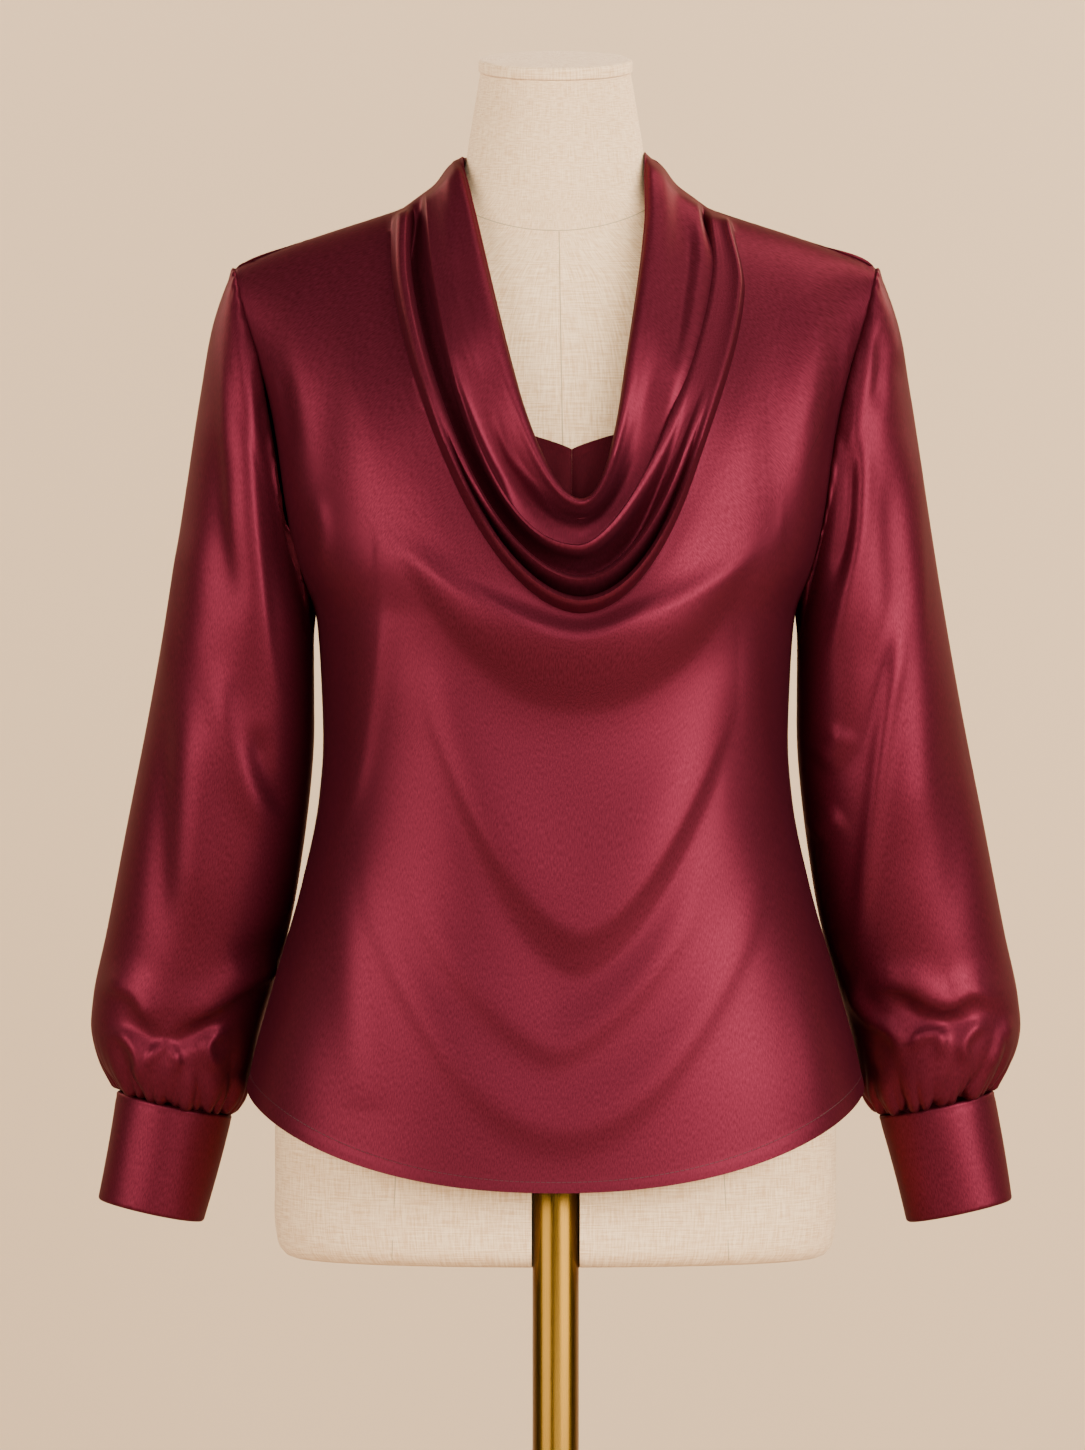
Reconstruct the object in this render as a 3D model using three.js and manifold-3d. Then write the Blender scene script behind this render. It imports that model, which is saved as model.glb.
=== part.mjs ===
// Long-sleeved satin blouse with a draped cowl neck, worn by a limbless dress form on a brass pole.
// Millimetres, +Z up. The origin is on the floor under the middle of the base; the front faces -Y.

import * as THREE from 'three';
import { mergeVertices } from 'three/addons/utils/BufferGeometryUtils.js';
import Module from 'manifold-3d';

// Driving dimensions
const clothThickness = 1.2;
const cuffThickness = 2.4;
const seamGap = 0.3;
const sideSeamY = 4; // the side and shoulder seams lie in this plane
const cowlCentreX = 15; // the cowl hangs a little to the wearer's left
const shoulderX = 201;
const shoulderZ = 1042;
const underarmZ = 825;
const hemSideZ = 527;
const hemFrontZ = 470;
const hemBackZ = 473;
const gatherCount = 28; // gathers round each cuff

const formBottomZ = 420;
const neckTopZ = 1165.5;
const neckTopY = -2;
const neckTopTilt = THREE.MathUtils.degToRad(8.5);
const capRadius = 48.4;
const capThickness = 8;
const poleRadius = 14.5;
const poleY = -84; // the pole stands in a channel at the form's centre front
const poleTopZ = 500;
const channelGap = 0.5;
const baseRadius = 190;
const baseThickness = 14;

// Materials
const satin = { color: 0x7a2231, roughness: 0.34, metalness: 0 };
const satinInside = { color: 0x5e1722, roughness: 0.4, metalness: 0 };
const linen = { color: 0xe3d3bc, roughness: 0.9, metalness: 0 };
const brass = { color: 0x8a6a2c, roughness: 0.28, metalness: 1 };
const darkMetal = { color: 0x4c4238, roughness: 0.5, metalness: 0.6 };

// A smooth curve through [place, value] pairs that never overshoots them
function profile(pairs) {
  const sorted = [...pairs].sort((a, b) => a[0] - b[0]);
  const last = sorted.length - 1;
  const slopes = [];
  for (let i = 0; i < last; i++) {
    slopes.push((sorted[i + 1][1] - sorted[i][1]) / (sorted[i + 1][0] - sorted[i][0]));
  }
  const tangents = sorted.map((_, i) => {
    if (i === 0) return slopes[0];
    if (i === last) return slopes[last - 1];
    const product = slopes[i - 1] * slopes[i];
    return product <= 0 ? 0 : (2 * product) / (slopes[i - 1] + slopes[i]);
  });
  return (place) => {
    const at = Math.min(Math.max(place, sorted[0][0]), sorted[last][0]);
    let i = 0;
    while (i < last - 1 && at > sorted[i + 1][0]) i++;
    const span = sorted[i + 1][0] - sorted[i][0];
    const t = (at - sorted[i][0]) / span;
    const keep = (1 + 2 * t) * (1 - t) ** 2;
    const next = t * t * (3 - 2 * t);
    return keep * sorted[i][1] + next * sorted[i + 1][1]
      + t * (1 - t) ** 2 * span * tangents[i] - t * t * (1 - t) * span * tangents[i + 1];
  };
}

// Reads one column of a table of sections against its height
function column(sections, name) {
  return profile(sections.map((row) => [row.height, row[name]]));
}

// Names the columns of a table once for all of its rows
function table(names, rows) {
  return rows.map((row) => Object.fromEntries(names.map((name, i) => [name, row[i]])));
}

const hump = (distance) => Math.exp(-distance * distance);

// The blouse's body, one row for each height: half width and depths from the side seam's plane
const bodySections = [
  { height: 450, halfWidth: 202, front: 132, back: 126 },
  { height: 527, halfWidth: 194, front: 130, back: 124 },
  { height: 590, halfWidth: 178, front: 128, back: 116 },
  { height: 655, halfWidth: 159.5, front: 127, back: 104 },
  { height: 710, halfWidth: 148.5, front: 128, back: 95 },
  { height: 745, halfWidth: 146, front: 129, back: 92 },
  { height: 790, halfWidth: 147.5, front: 132, back: 94 },
  { height: 825, halfWidth: 150.5, front: 134, back: 98 },
  { height: 857, halfWidth: 164, front: 133, back: 102 },
  { height: 900, halfWidth: 175, front: 124, back: 106 },
  { height: 950, halfWidth: 184, front: 109, back: 107 },
  { height: 1000, halfWidth: 201, front: 90, back: 105 },
  { height: 1044, halfWidth: 216, front: 74, back: 100 },
  { height: 1080, halfWidth: 220, front: 66, back: 92 },
  { height: 1125, halfWidth: 220, front: 62, back: 86 },
];
const bodyHalfWidth = column(bodySections, 'halfWidth');
const bodyFront = column(bodySections, 'front');
const bodyBack = column(bodySections, 'back');
const bodySquareness = 2.4;
const frontTurn = 150; // how far below the shoulder the front has come fully forward
const backTurn = 120;
const neckHalfWidth = 46; // the back rises no higher than the seam line does here

// Height of the shoulder seam against the distance from the middle; it climbs the neck at its end
const seamLine = [
  { x: 0, z: 1160 },
  { x: 46, z: 1128 },
  { x: 60.5, z: 1110 },
  { x: 68, z: 1101 },
  { x: 78, z: 1092 },
  { x: 87, z: 1086 },
  { x: 96, z: 1080 },
  { x: 123, z: 1070.5 },
  { x: 156, z: 1060 },
  { x: 183, z: 1050 },
  { x: shoulderX, z: shoulderZ },
  { x: 216, z: 1034 },
];
const seamHeight = profile(seamLine.map(({ x, z }) => [x, z]));
const collarFootX = 96;

// The armhole seam, down from the shoulder
const armholeLine = [
  { height: shoulderZ, x: shoulderX },
  { height: 1015, x: 195 },
  { height: 981, x: 184.5 },
  { height: 950, x: 177 },
  { height: 920, x: 172 },
  { height: 887, x: 167.5 },
  { height: 857, x: 160.5 },
  { height: 838, x: 154 },
  { height: underarmZ, x: 150.5 },
];
const armholeX = column(armholeLine, 'x');

function turnOver(drop, reach) {
  const left = 1 - Math.min(Math.max(drop / reach, 0), 1);
  return Math.sqrt(1 - left * left);
}

function roundness(x, z) {
  const across = Math.min(Math.abs(x) / bodyHalfWidth(z), 1);
  return (1 - across ** bodySquareness) ** (1 / bodySquareness);
}

function frontSurface(x, z) {
  const drop = seamHeight(Math.abs(x)) - z;
  return sideSeamY - bodyFront(z) * turnOver(drop, frontTurn) * roundness(x, z);
}

function backSurface(x, z) {
  const drop = seamHeight(Math.max(Math.abs(x), neckHalfWidth)) - z;
  return sideSeamY + bodyBack(z) * turnOver(drop, backTurn) * roundness(x, z);
}

// The outer edge of a body panel from the collar's foot out along the shoulder, down the armhole
// and the side seam to the hem: fraction 0 to 1 gives the point
function panelEdge(startX) {
  const points = [];
  const shoulderSteps = 12;
  for (let i = 0; i <= shoulderSteps; i++) {
    const x = THREE.MathUtils.lerp(startX, shoulderX, i / shoulderSteps);
    points.push({ x, z: seamHeight(x), kind: 'seam' });
  }
  const armholeSteps = 24;
  for (let i = 1; i < armholeSteps; i++) {
    const z = THREE.MathUtils.lerp(shoulderZ, underarmZ, i / armholeSteps);
    points.push({ x: armholeX(z), z, kind: 'armhole' });
  }
  const sideSteps = 24;
  for (let i = 0; i <= sideSteps; i++) {
    const z = THREE.MathUtils.lerp(underarmZ, hemSideZ, i / sideSteps);
    points.push({ x: bodyHalfWidth(z), z, kind: 'seam' });
  }
  const lengths = [0];
  for (let i = 1; i < points.length; i++) {
    const step = Math.hypot(points[i].x - points[i - 1].x, points[i].z - points[i - 1].z);
    lengths.push(lengths[i - 1] + step);
  }
  const total = lengths[lengths.length - 1];
  return (fraction) => {
    const target = fraction * total;
    let i = 1;
    while (i < points.length - 1 && lengths[i] < target) i++;
    const t = (target - lengths[i - 1]) / (lengths[i] - lengths[i - 1]);
    return {
      x: THREE.MathUtils.lerp(points[i - 1].x, points[i].x, t),
      z: THREE.MathUtils.lerp(points[i - 1].z, points[i].z, t),
      kind: t < 0.5 ? points[i - 1].kind : points[i].kind,
    };
  };
}

// Half a row of a panel: a U from its lowest point at the middle up to its end on the panel's edge.
// bend and shoulder shape the U; surface gives the depth, with the row's own lift at the middle and
// the share of it named keep that lasts further up the arm
const fineSteps = 150;
const liftFade = 0.6;
const keepStart = 2;
const keepEnd = 6;

function halfRow(row, side, surface, steps) {
  const fine = [];
  const endX = side * row[side < 0 ? 'leftX' : 'rightX'];
  const endZ = row[side < 0 ? 'leftZ' : 'rightZ'];
  const bend = row[side < 0 ? 'leftBend' : 'rightBend'];
  for (let i = 0; i <= fineSteps; i++) {
    const turn = (i / fineSteps) * Math.PI / 2;
    const across = Math.sin(turn) ** (2 / bend);
    const rise = 1 - Math.max(Math.cos(turn), 0) ** (2 / row.shoulder);
    const x = THREE.MathUtils.lerp(row.centreX, endX, across);
    const z = THREE.MathUtils.lerp(row.centreZ, endZ, rise);
    const middleLift = row.lift * (1 - rise) ** liftFade;
    const armLift = row.lift * row.keep * rise ** keepStart * (1 - rise ** keepEnd);
    fine.push(new THREE.Vector3(x, surface(x, z) - middleLift - armLift, z));
  }
  const lengths = [0];
  for (let i = 1; i <= fineSteps; i++) {
    lengths.push(lengths[i - 1] + fine[i].distanceTo(fine[i - 1]));
  }
  const points = [];
  let i = 1;
  for (let step = 0; step <= steps; step++) {
    const target = (lengths[fineSteps] * step) / steps;
    while (i < fineSteps && lengths[i] < target) i++;
    const t = (target - lengths[i - 1]) / (lengths[i] - lengths[i - 1]);
    points.push(fine[i - 1].clone().lerp(fine[i], t));
  }
  return points;
}

function wholeRow(row, surface, stepsPerHalf) {
  const left = halfRow(row, -1, surface, stepsPerHalf).reverse();
  return left.concat(halfRow(row, 1, surface, stepsPerHalf).slice(1));
}

// Gives a grid of points a thickness: the mid surface is moved half the wall each way
function wall(grid, thickness, { ring = false, settle = null } = {}) {
  const rows = grid.length;
  const columns = grid[0].length;
  const at = (r, c) => grid[r][ring ? (c + columns) % columns : Math.min(Math.max(c, 0), columns - 1)];
  const sides = [[], []];
  for (let r = 0; r < rows; r++) {
    for (let c = 0; c < columns; c++) {
      const along = at(r, c + 1).clone().sub(at(r, c - 1));
      const down = at(Math.min(r + 1, rows - 1), c).clone().sub(at(Math.max(r - 1, 0), c));
      const normal = along.cross(down).normalize();
      [1, -1].forEach((way, k) => {
        const point = at(r, c).clone().addScaledVector(normal, (way * thickness) / 2);
        if (settle) settle(point, r, c);
        sides[k].push(point);
      });
    }
  }
  const count = rows * columns;
  const positions = [...sides[0], ...sides[1]].flatMap((p) => [p.x, p.y, p.z]);
  const faces = [];
  const quad = (a, b, c, d) => faces.push(a, b, c, a, c, d);
  const columnSteps = ring ? columns : columns - 1;
  const index = (r, c) => r * columns + (c % columns);
  for (let r = 0; r < rows - 1; r++) {
    for (let c = 0; c < columnSteps; c++) {
      const a = index(r, c);
      const b = index(r, c + 1);
      const d = index(r + 1, c);
      const e = index(r + 1, c + 1);
      quad(a, b, e, d);
      quad(a + count, d + count, e + count, b + count);
    }
  }
  for (let c = 0; c < columnSteps; c++) {
    const top = [index(0, c), index(0, c + 1)];
    const foot = [index(rows - 1, c), index(rows - 1, c + 1)];
    quad(top[0], top[0] + count, top[1] + count, top[1]);
    quad(foot[1], foot[1] + count, foot[0] + count, foot[0]);
  }
  if (!ring) {
    for (let r = 0; r < rows - 1; r++) {
      const start = [index(r, 0), index(r + 1, 0)];
      const end = [index(r, columns - 1), index(r + 1, columns - 1)];
      quad(start[1], start[1] + count, start[0] + count, start[0]);
      quad(end[0], end[0] + count, end[1] + count, end[1]);
    }
  }
  return solid(positions, faces);
}

// A geometry whose faces point out, whichever way its grid ran
function solid(positions, faces) {
  let volume = 0;
  const corner = (i) => new THREE.Vector3(positions[3 * i], positions[3 * i + 1], positions[3 * i + 2]);
  for (let i = 0; i < faces.length; i += 3) {
    volume += corner(faces[i]).dot(corner(faces[i + 1]).cross(corner(faces[i + 2])));
  }
  const ordered = volume > 0 ? faces : [...faces].reverse();
  const geometry = new THREE.BufferGeometry();
  geometry.setAttribute('position', new THREE.Float32BufferAttribute(positions, 3));
  geometry.setIndex(ordered);
  return geometry;
}

// A closed body through rings of points, flat at both ends
function loft(rings) {
  const columns = rings[0].length;
  const positions = rings.flat().flatMap((p) => [p.x, p.y, p.z]);
  const faces = [];
  for (let r = 0; r < rings.length - 1; r++) {
    for (let c = 0; c < columns; c++) {
      const a = r * columns + c;
      const b = r * columns + ((c + 1) % columns);
      faces.push(a, b, b + columns, a, b + columns, a + columns);
    }
  }
  const ends = [rings[0], rings[rings.length - 1]];
  ends.forEach((ring, k) => {
    const middle = positions.length / 3;
    const centre = ring.reduce((sum, p) => sum.add(p), new THREE.Vector3()).divideScalar(columns);
    positions.push(centre.x, centre.y, centre.z);
    const first = k === 0 ? 0 : (rings.length - 1) * columns;
    for (let c = 0; c < columns; c++) {
      const a = first + c;
      const b = first + ((c + 1) % columns);
      faces.push(...(k === 0 ? [middle, b, a] : [middle, a, b]));
    }
  });
  return solid(positions, faces);
}

const part = new THREE.Group();
function add(name, geometry, finish) {
  const mesh = new THREE.Mesh(geometry, new THREE.MeshStandardMaterial(finish));
  mesh.name = name;
  part.add(mesh);
  return mesh;
}

// Points on the seams in the side plane stop half a gap short of it
function stopAtSeam(rowEnds, columns, way) {
  return (point, r, c) => {
    const atEnd = c === 0 || c === columns - 1;
    if (atEnd && rowEnds[r] === 'seam') point.y = sideSeamY + way * (seamGap / 2);
  };
}

// Front with the cowl
// The cowl's rows, from its rolled edge out to the largest fold. leftX and rightX are where the fold
// starts on the shoulder, centreZ its lowest point, lift how far it stands before the body
const cowlRows = table(
  ['fold', 'leftX', 'rightX', 'centreZ', 'leftBend', 'rightBend', 'shoulder', 'lift', 'keep'],
  [
    ['turned edge', 60.5, 58, 895, 2, 2.1, 0.85, -18, 0.1],
    ['edge', 61.5, 59, 902, 2, 2.1, 0.85, -12, 0.1],
    ['edge front', 65, 62.5, 897.5, 2.1, 2.1, 0.95, -6, 0.2],
    ['hollow 1', 71, 68, 887, 2.2, 2.1, 1.1, -13, 0.25],
    ['second fold', 79, 77, 874, 2.3, 2.1, 1.3, 0, 0.4],
    ['hollow 2', 85, 84, 864, 2.15, 2.05, 1.4, -8, 0.3],
    ['third fold', 90.5, 92, 854, 2, 1.9, 1.6, 5, 0.5],
    ['hollow 3', 94.5, 99, 846.5, 1.9, 1.9, 1.65, -1, 0.3],
    ['outer fold', 99, 108, 839, 1.85, 1.9, 1.7, 9, 0.6],
    ['under the fold', 103.5, 114, 831, 1.8, 1.9, 1.65, 1, 0.2],
  ],
);
const frontStartX = 108;
const frontRowCount = 20;
const frontHalfColumns = 16;

// Soft swags across the front, each a U round the middle; climb is how steeply its arms rise
const swagCurve = 0.0071;
const swagCentreX = 9;
const swags = [
  { name: 'shelf under the cowl', low: 806, climb: 1.0, reach: 130, width: 15, depth: 5 },
  { name: 'hollow under the shelf', low: 772, climb: 1.15, reach: 125, width: 24, depth: -9 },
  { name: 'first swag', low: 700, climb: 1.7, reach: 105, width: 26, depth: 4 },
  { name: 'first swag hollow', low: 652, climb: 1.75, reach: 100, width: 17, depth: -5 },
  { name: 'second swag', low: 612, climb: 1.8, reach: 120, width: 17, depth: 4.5 },
  { name: 'second swag hollow', low: 560, climb: 1.8, reach: 135, width: 18, depth: -5 },
  { name: 'third swag', low: 528, climb: 1.7, reach: 150, width: 18, depth: 3.5 },
];

// Soft upright folds that hang from the bust and from the armholes, each a line from top to foot
const uprights = [
  { name: 'left bust fold', topX: -112, footX: -128, topZ: 850, footZ: 700, width: 11, depth: 4 },
  { name: 'left side hollow', topX: -134, footX: -140, topZ: 840, footZ: 690, width: 8, depth: -3 },
  { name: 'right bust fold', topX: 122, footX: 133, topZ: 850, footZ: 690, width: 11, depth: 4 },
  { name: 'right side hollow', topX: 138, footX: 143, topZ: 830, footZ: 680, width: 7, depth: -2.5 },
  { name: 'left flare', topX: -120, footX: -150, topZ: 660, footZ: 500, width: 14, depth: 3 },
  { name: 'right flare', topX: 126, footX: 156, topZ: 660, footZ: 500, width: 14, depth: 3 },
  { name: 'left shoulder fall', topX: -132, footX: -118, topZ: 1050, footZ: 900, width: 12, depth: 2.5 },
  { name: 'right shoulder fall', topX: 150, footX: 148, topZ: 1045, footZ: 880, width: 12, depth: 3 },
];

function swagDepth(x, z) {
  const away = x - swagCentreX;
  const swagged = swags.reduce((sum, swag) => {
    const line = swag.low + swag.climb * swagCurve * away * away;
    const fade = Math.max(1 - (Math.abs(away) / swag.reach) ** 3, 0);
    return sum + swag.depth * fade * hump((z - line) / swag.width);
  }, 0);
  return uprights.reduce((sum, fold) => {
    const down = (fold.topZ - z) / (fold.topZ - fold.footZ);
    const line = THREE.MathUtils.lerp(fold.topX, fold.footX, down);
    const fade = Math.max(4 * down * (1 - down), 0);
    return sum + fold.depth * fade * hump((x - line) / fold.width);
  }, swagged);
}

function frontCloth(x, z) {
  return frontSurface(x, z) - swagDepth(x, z);
}

// Rows below the cowl or the neck; the spreads set the rows closer together near the hem or the top
const edgeSpread = 0.88;
const centreSpread = 1.15;
const firstShoulder = 1.5;
const lowerShoulder = 1.02;
const hemShoulder = 1.4;
const shoulderFade = 5;

function bodyRows(edge, topZ, hemZ, count, bendAt) {
  const ends = Array.from({ length: count }, (_, k) => edge(((k + 1) / count) ** edgeSpread));
  const corners = [
    { x: shoulderX, z: shoulderZ, kind: 'seam' },
    { x: armholeX(underarmZ), z: underarmZ, kind: 'seam' },
  ];
  corners.forEach((corner) => {
    const away = ends.map((end) => Math.hypot(end.x - corner.x, end.z - corner.z));
    ends[away.indexOf(Math.min(...away))] = corner;
  });
  const rows = [];
  for (let k = 1; k <= count; k++) {
    const s = k / count;
    const end = ends[k - 1];
    const bend = bendAt(s);
    rows.push({
      leftX: end.x, rightX: end.x, leftZ: end.z, rightZ: end.z, kind: end.kind,
      centreX: cowlCentreX * (1 - s), centreZ: THREE.MathUtils.lerp(topZ, hemZ, s ** centreSpread),
      leftBend: bend, rightBend: bend,
      shoulder: THREE.MathUtils.lerp(firstShoulder, lowerShoulder, Math.min(s * shoulderFade, 1)),
      lift: 0, keep: 0,
    });
  }
  rows[rows.length - 1].shoulder = hemShoulder;
  return rows;
}

function makeFront() {
  const upper = cowlRows.map((row) => ({
    ...row, leftZ: seamHeight(row.leftX), rightZ: seamHeight(row.rightX), centreX: cowlCentreX, kind: 'seam',
  }));
  const bend = profile([[0, 1.85], [0.25, 1.8], [0.5, 1.8], [1, 2.2]]);
  const lastFold = cowlRows[cowlRows.length - 1];
  const lower = bodyRows(panelEdge(frontStartX), lastFold.centreZ, hemFrontZ, frontRowCount, bend);
  const rows = [...upper, ...lower];
  const grid = rows.map((row) => wholeRow(row, frontCloth, frontHalfColumns));
  const settle = stopAtSeam(rows.map((row) => row.kind), grid[0].length, -1);
  return wall(grid, clothThickness, { settle });
}
add('front', makeFront(), satin);

// Back
const backRowCount = 17;
const backHalfColumns = 11;
const collarFootDrop = 9;

function makeBack() {
  const neckRow = {
    leftX: collarFootX, rightX: collarFootX, leftZ: seamHeight(collarFootX), rightZ: seamHeight(collarFootX),
    kind: 'seam', centreX: 0, centreZ: seamHeight(collarFootX) - collarFootDrop, leftBend: 2, rightBend: 2,
    shoulder: 2, lift: 0, keep: 0,
  };
  const bend = profile([[0, 2], [1, 2.2]]);
  const lower = bodyRows(panelEdge(collarFootX), neckRow.centreZ, hemBackZ, backRowCount, bend);
  lower.forEach((row) => { row.centreX = 0; });
  const rows = [neckRow, ...lower];
  const grid = rows.map((row) => wholeRow(row, backSurface, backHalfColumns));
  const settle = stopAtSeam(rows.map((row) => row.kind), grid[0].length, 1);
  return wall(grid, clothThickness, { settle });
}
add('back', makeBack(), satin);

// Back collar: a soft stand from one shoulder seam round the back of the neck to the other.
// Each row runs round the neck; x is its place on the seam line, back its reach behind the seam
const collarRows = [
  { x: 60.5, back: 60, rise: 3 },
  { x: 66, back: 63.5, rise: 2 },
  { x: 76, back: 69, rise: 0 },
  { x: 86, back: 75, rise: -3 },
  { x: collarFootX - 0.8, back: 0, rise: 0 },
];
const collarColumns = 24;
const collarClear = 1.1; // the collar's foot stays this far above the back's neck seam

function makeCollar() {
  const neckZ = seamHeight(collarFootX) - collarFootDrop;
  const grid = collarRows.map((row) => {
    const points = [];
    for (let c = 0; c <= collarColumns; c++) {
      const angle = (Math.PI * c) / collarColumns;
      const x = -row.x * Math.cos(angle);
      if (row.back) {
        const z = seamHeight(row.x) + row.rise * Math.sin(angle);
        points.push(new THREE.Vector3(x, sideSeamY + row.back * Math.sin(angle), z));
      } else {
        const z = THREE.MathUtils.lerp(seamHeight(row.x), neckZ + collarClear, Math.sin(angle));
        points.push(new THREE.Vector3(x, backSurface(x, z), z));
      }
    }
    return points;
  });
  return wall(grid, clothThickness, { settle: stopAtSeam(grid.map(() => 'seam'), collarColumns + 1, 1) });
}
add('back_collar', makeCollar(), satin);

// Dress form: sections of the torso and neck; squareness 2 is an ellipse
const formSections = [
  { height: formBottomZ, halfWidth: 166, front: 88, back: 106, squareness: 2.3 },
  { height: formBottomZ + 4, halfWidth: 172.5, front: 95, back: 112, squareness: 2.3 },
  { height: formBottomZ + 12, halfWidth: 176, front: 99, back: 116, squareness: 2.3 },
  { height: 470, halfWidth: 177, front: 101, back: 118, squareness: 2.3 },
  { height: 520, halfWidth: 176, front: 102, back: 117, squareness: 2.3 },
  { height: 580, halfWidth: 167, front: 100, back: 106, squareness: 2.3 },
  { height: 650, halfWidth: 146, front: 93, back: 88, squareness: 2.3 },
  { height: 700, halfWidth: 129, front: 88, back: 76, squareness: 2.25 },
  { height: 745, halfWidth: 123, front: 89, back: 72, squareness: 2.2 },
  { height: 790, halfWidth: 129, front: 99, back: 75, squareness: 2.25 },
  { height: 835, halfWidth: 139, front: 108, back: 80, squareness: 2.3 },
  { height: 870, halfWidth: 148, front: 103, back: 85, squareness: 2.3 },
  { height: 910, halfWidth: 157, front: 91, back: 88, squareness: 2.3 },
  { height: 950, halfWidth: 165, front: 80, back: 88, squareness: 2.25 },
  { height: 990, halfWidth: 173, front: 70, back: 83, squareness: 2.1 },
  { height: 1020, halfWidth: 178, front: 59, back: 76, squareness: 1.8 },
];
const shoulderSections = [
  { x: 176, drop: 11, front: 52, back: 70, squareness: 1.6 },
  { x: 168, drop: 5.5, front: 49, back: 67, squareness: 1.4 },
  { x: 150, drop: 2.5, front: 46, back: 64, squareness: 1.28 },
  { x: 123, drop: 0, front: 45, back: 61, squareness: 1.22 },
  { x: 108, drop: 0, front: 45, back: 59, squareness: 1.26 },
  { x: 96, drop: 0, front: 45, back: 58, squareness: 1.32 },
];
const neckSections = [
  { height: 1081, halfWidth: 77, front: 46, back: 56, squareness: 1.55 },
  { height: 1084, halfWidth: 67, front: 46, back: 54, squareness: 1.8 },
  { height: 1090, halfWidth: 61, front: 46.5, back: 52.5, squareness: 1.95 },
  { height: 1100, halfWidth: 58, front: 47, back: 51, squareness: 2 },
  { height: 1125, halfWidth: 54, front: 48, back: 48, squareness: 2 },
];
const formColumns = 32;
const seatGap = 0.4; // the shoulder seams rest on the form's shoulders
const slopeFactor = 1.08; // a height that keeps the gap square to the sloping shoulder
const neckInset = 1.2; // the neck is a little smaller than its cap

function formRing({ height, halfWidth, front, back, squareness }) {
  return Array.from({ length: formColumns }, (_, c) => {
    const angle = (2 * Math.PI * c) / formColumns;
    const curve = (value) => Math.sign(value) * Math.abs(value) ** (2 / squareness);
    const depth = Math.sin(angle) < 0 ? front : back;
    return new THREE.Vector3(
      halfWidth * curve(Math.cos(angle)),
      sideSeamY + depth * curve(Math.sin(angle)),
      height,
    );
  });
}

async function makeTorso() {
  const under = clothThickness / 2 + seatGap;
  const shoulders = shoulderSections.map((row) => (
    { ...row, halfWidth: row.x, height: seamHeight(row.x) - row.drop - slopeFactor * under }));
  const rings = [...formSections, ...shoulders, ...neckSections].map(formRing);
  const neckTop = Array.from({ length: formColumns }, (_, c) => {
    const angle = (2 * Math.PI * c) / formColumns;
    const radius = capRadius - neckInset;
    const across = radius * Math.sin(angle) * Math.cos(neckTopTilt);
    const drop = radius * Math.sin(angle) * Math.sin(neckTopTilt);
    return new THREE.Vector3(radius * Math.cos(angle), neckTopY + across, neckTopZ + drop);
  });
  rings.push(neckTop);
  const wasm = await Module();
  wasm.setup();
  const body = toManifold(wasm, loft(rings));
  return fromManifold(body.subtract(toManifold(wasm, channelShape())));
}

// The channel for the pole: round at its back and open to the front and below
function channelShape() {
  const radius = poleRadius + channelGap;
  const open = 60;
  const below = 10;
  const outline = new THREE.Shape();
  outline.moveTo(radius, -open);
  outline.lineTo(radius, 0);
  outline.absarc(0, 0, radius, 0, Math.PI, false);
  outline.lineTo(-radius, -open);
  outline.closePath();
  const depth = poleTopZ + channelGap - (formBottomZ - below);
  const shape = new THREE.ExtrudeGeometry(outline, { depth, bevelEnabled: false, curveSegments: 16 });
  return shape.translate(0, poleY, formBottomZ - below);
}

function toManifold(wasm, geometry) {
  const bare = geometry.clone();
  bare.deleteAttribute('normal');
  bare.deleteAttribute('uv');
  const merged = mergeVertices(bare, 1e-4);
  return new wasm.Manifold(new wasm.Mesh({
    numProp: 3,
    vertProperties: new Float32Array(merged.attributes.position.array),
    triVerts: new Uint32Array(merged.index.array),
  }));
}

function fromManifold(body) {
  const mesh = body.getMesh();
  const geometry = new THREE.BufferGeometry();
  geometry.setAttribute('position', new THREE.BufferAttribute(new Float32Array(mesh.vertProperties), 3));
  geometry.setIndex(new THREE.BufferAttribute(new Uint32Array(mesh.triVerts), 1));
  return geometry;
}
add('form', await makeTorso(), linen);

// Cap on the neck
function makeCap() {
  const foot = 0.8;
  const edge = 2.2;
  const corner = 0.3 * edge;
  const profileLine = [
    new THREE.Vector2(0, 0),
    new THREE.Vector2(capRadius - foot, 0),
    new THREE.Vector2(capRadius, foot),
    new THREE.Vector2(capRadius, capThickness - edge),
    new THREE.Vector2(capRadius - corner, capThickness - corner),
    new THREE.Vector2(capRadius - edge, capThickness),
    new THREE.Vector2(0, capThickness),
  ];
  return new THREE.LatheGeometry(profileLine, 40).rotateX(Math.PI / 2);
}
const cap = add('neck_cap', makeCap(), linen);
cap.rotation.x = neckTopTilt;
cap.position.set(
  0,
  neckTopY - seamGap * Math.sin(neckTopTilt),
  neckTopZ + seamGap * Math.cos(neckTopTilt),
);

// Inner neck panel: two halves that meet in a centre seam and lie on the form's chest
const panelSizes = {
  centreX: 10, topZ: 929, topRise: 16, riseBend: 0.8, bottomZ: 862,
  halfWidthTop: 52, halfWidthBottom: 40, gap: 0.4,
};
const panelColumns = 8;
const panelRows = 6;
const formFrontAt = column(formSections, 'front');
const formHalfAt = column(formSections, 'halfWidth');
const formSquareAt = column(formSections, 'squareness');

function chest(x, z) {
  const square = formSquareAt(z);
  const across = Math.min(Math.abs(x) / formHalfAt(z), 1);
  return sideSeamY - formFrontAt(z) * (1 - across ** square) ** (1 / square);
}

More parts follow.
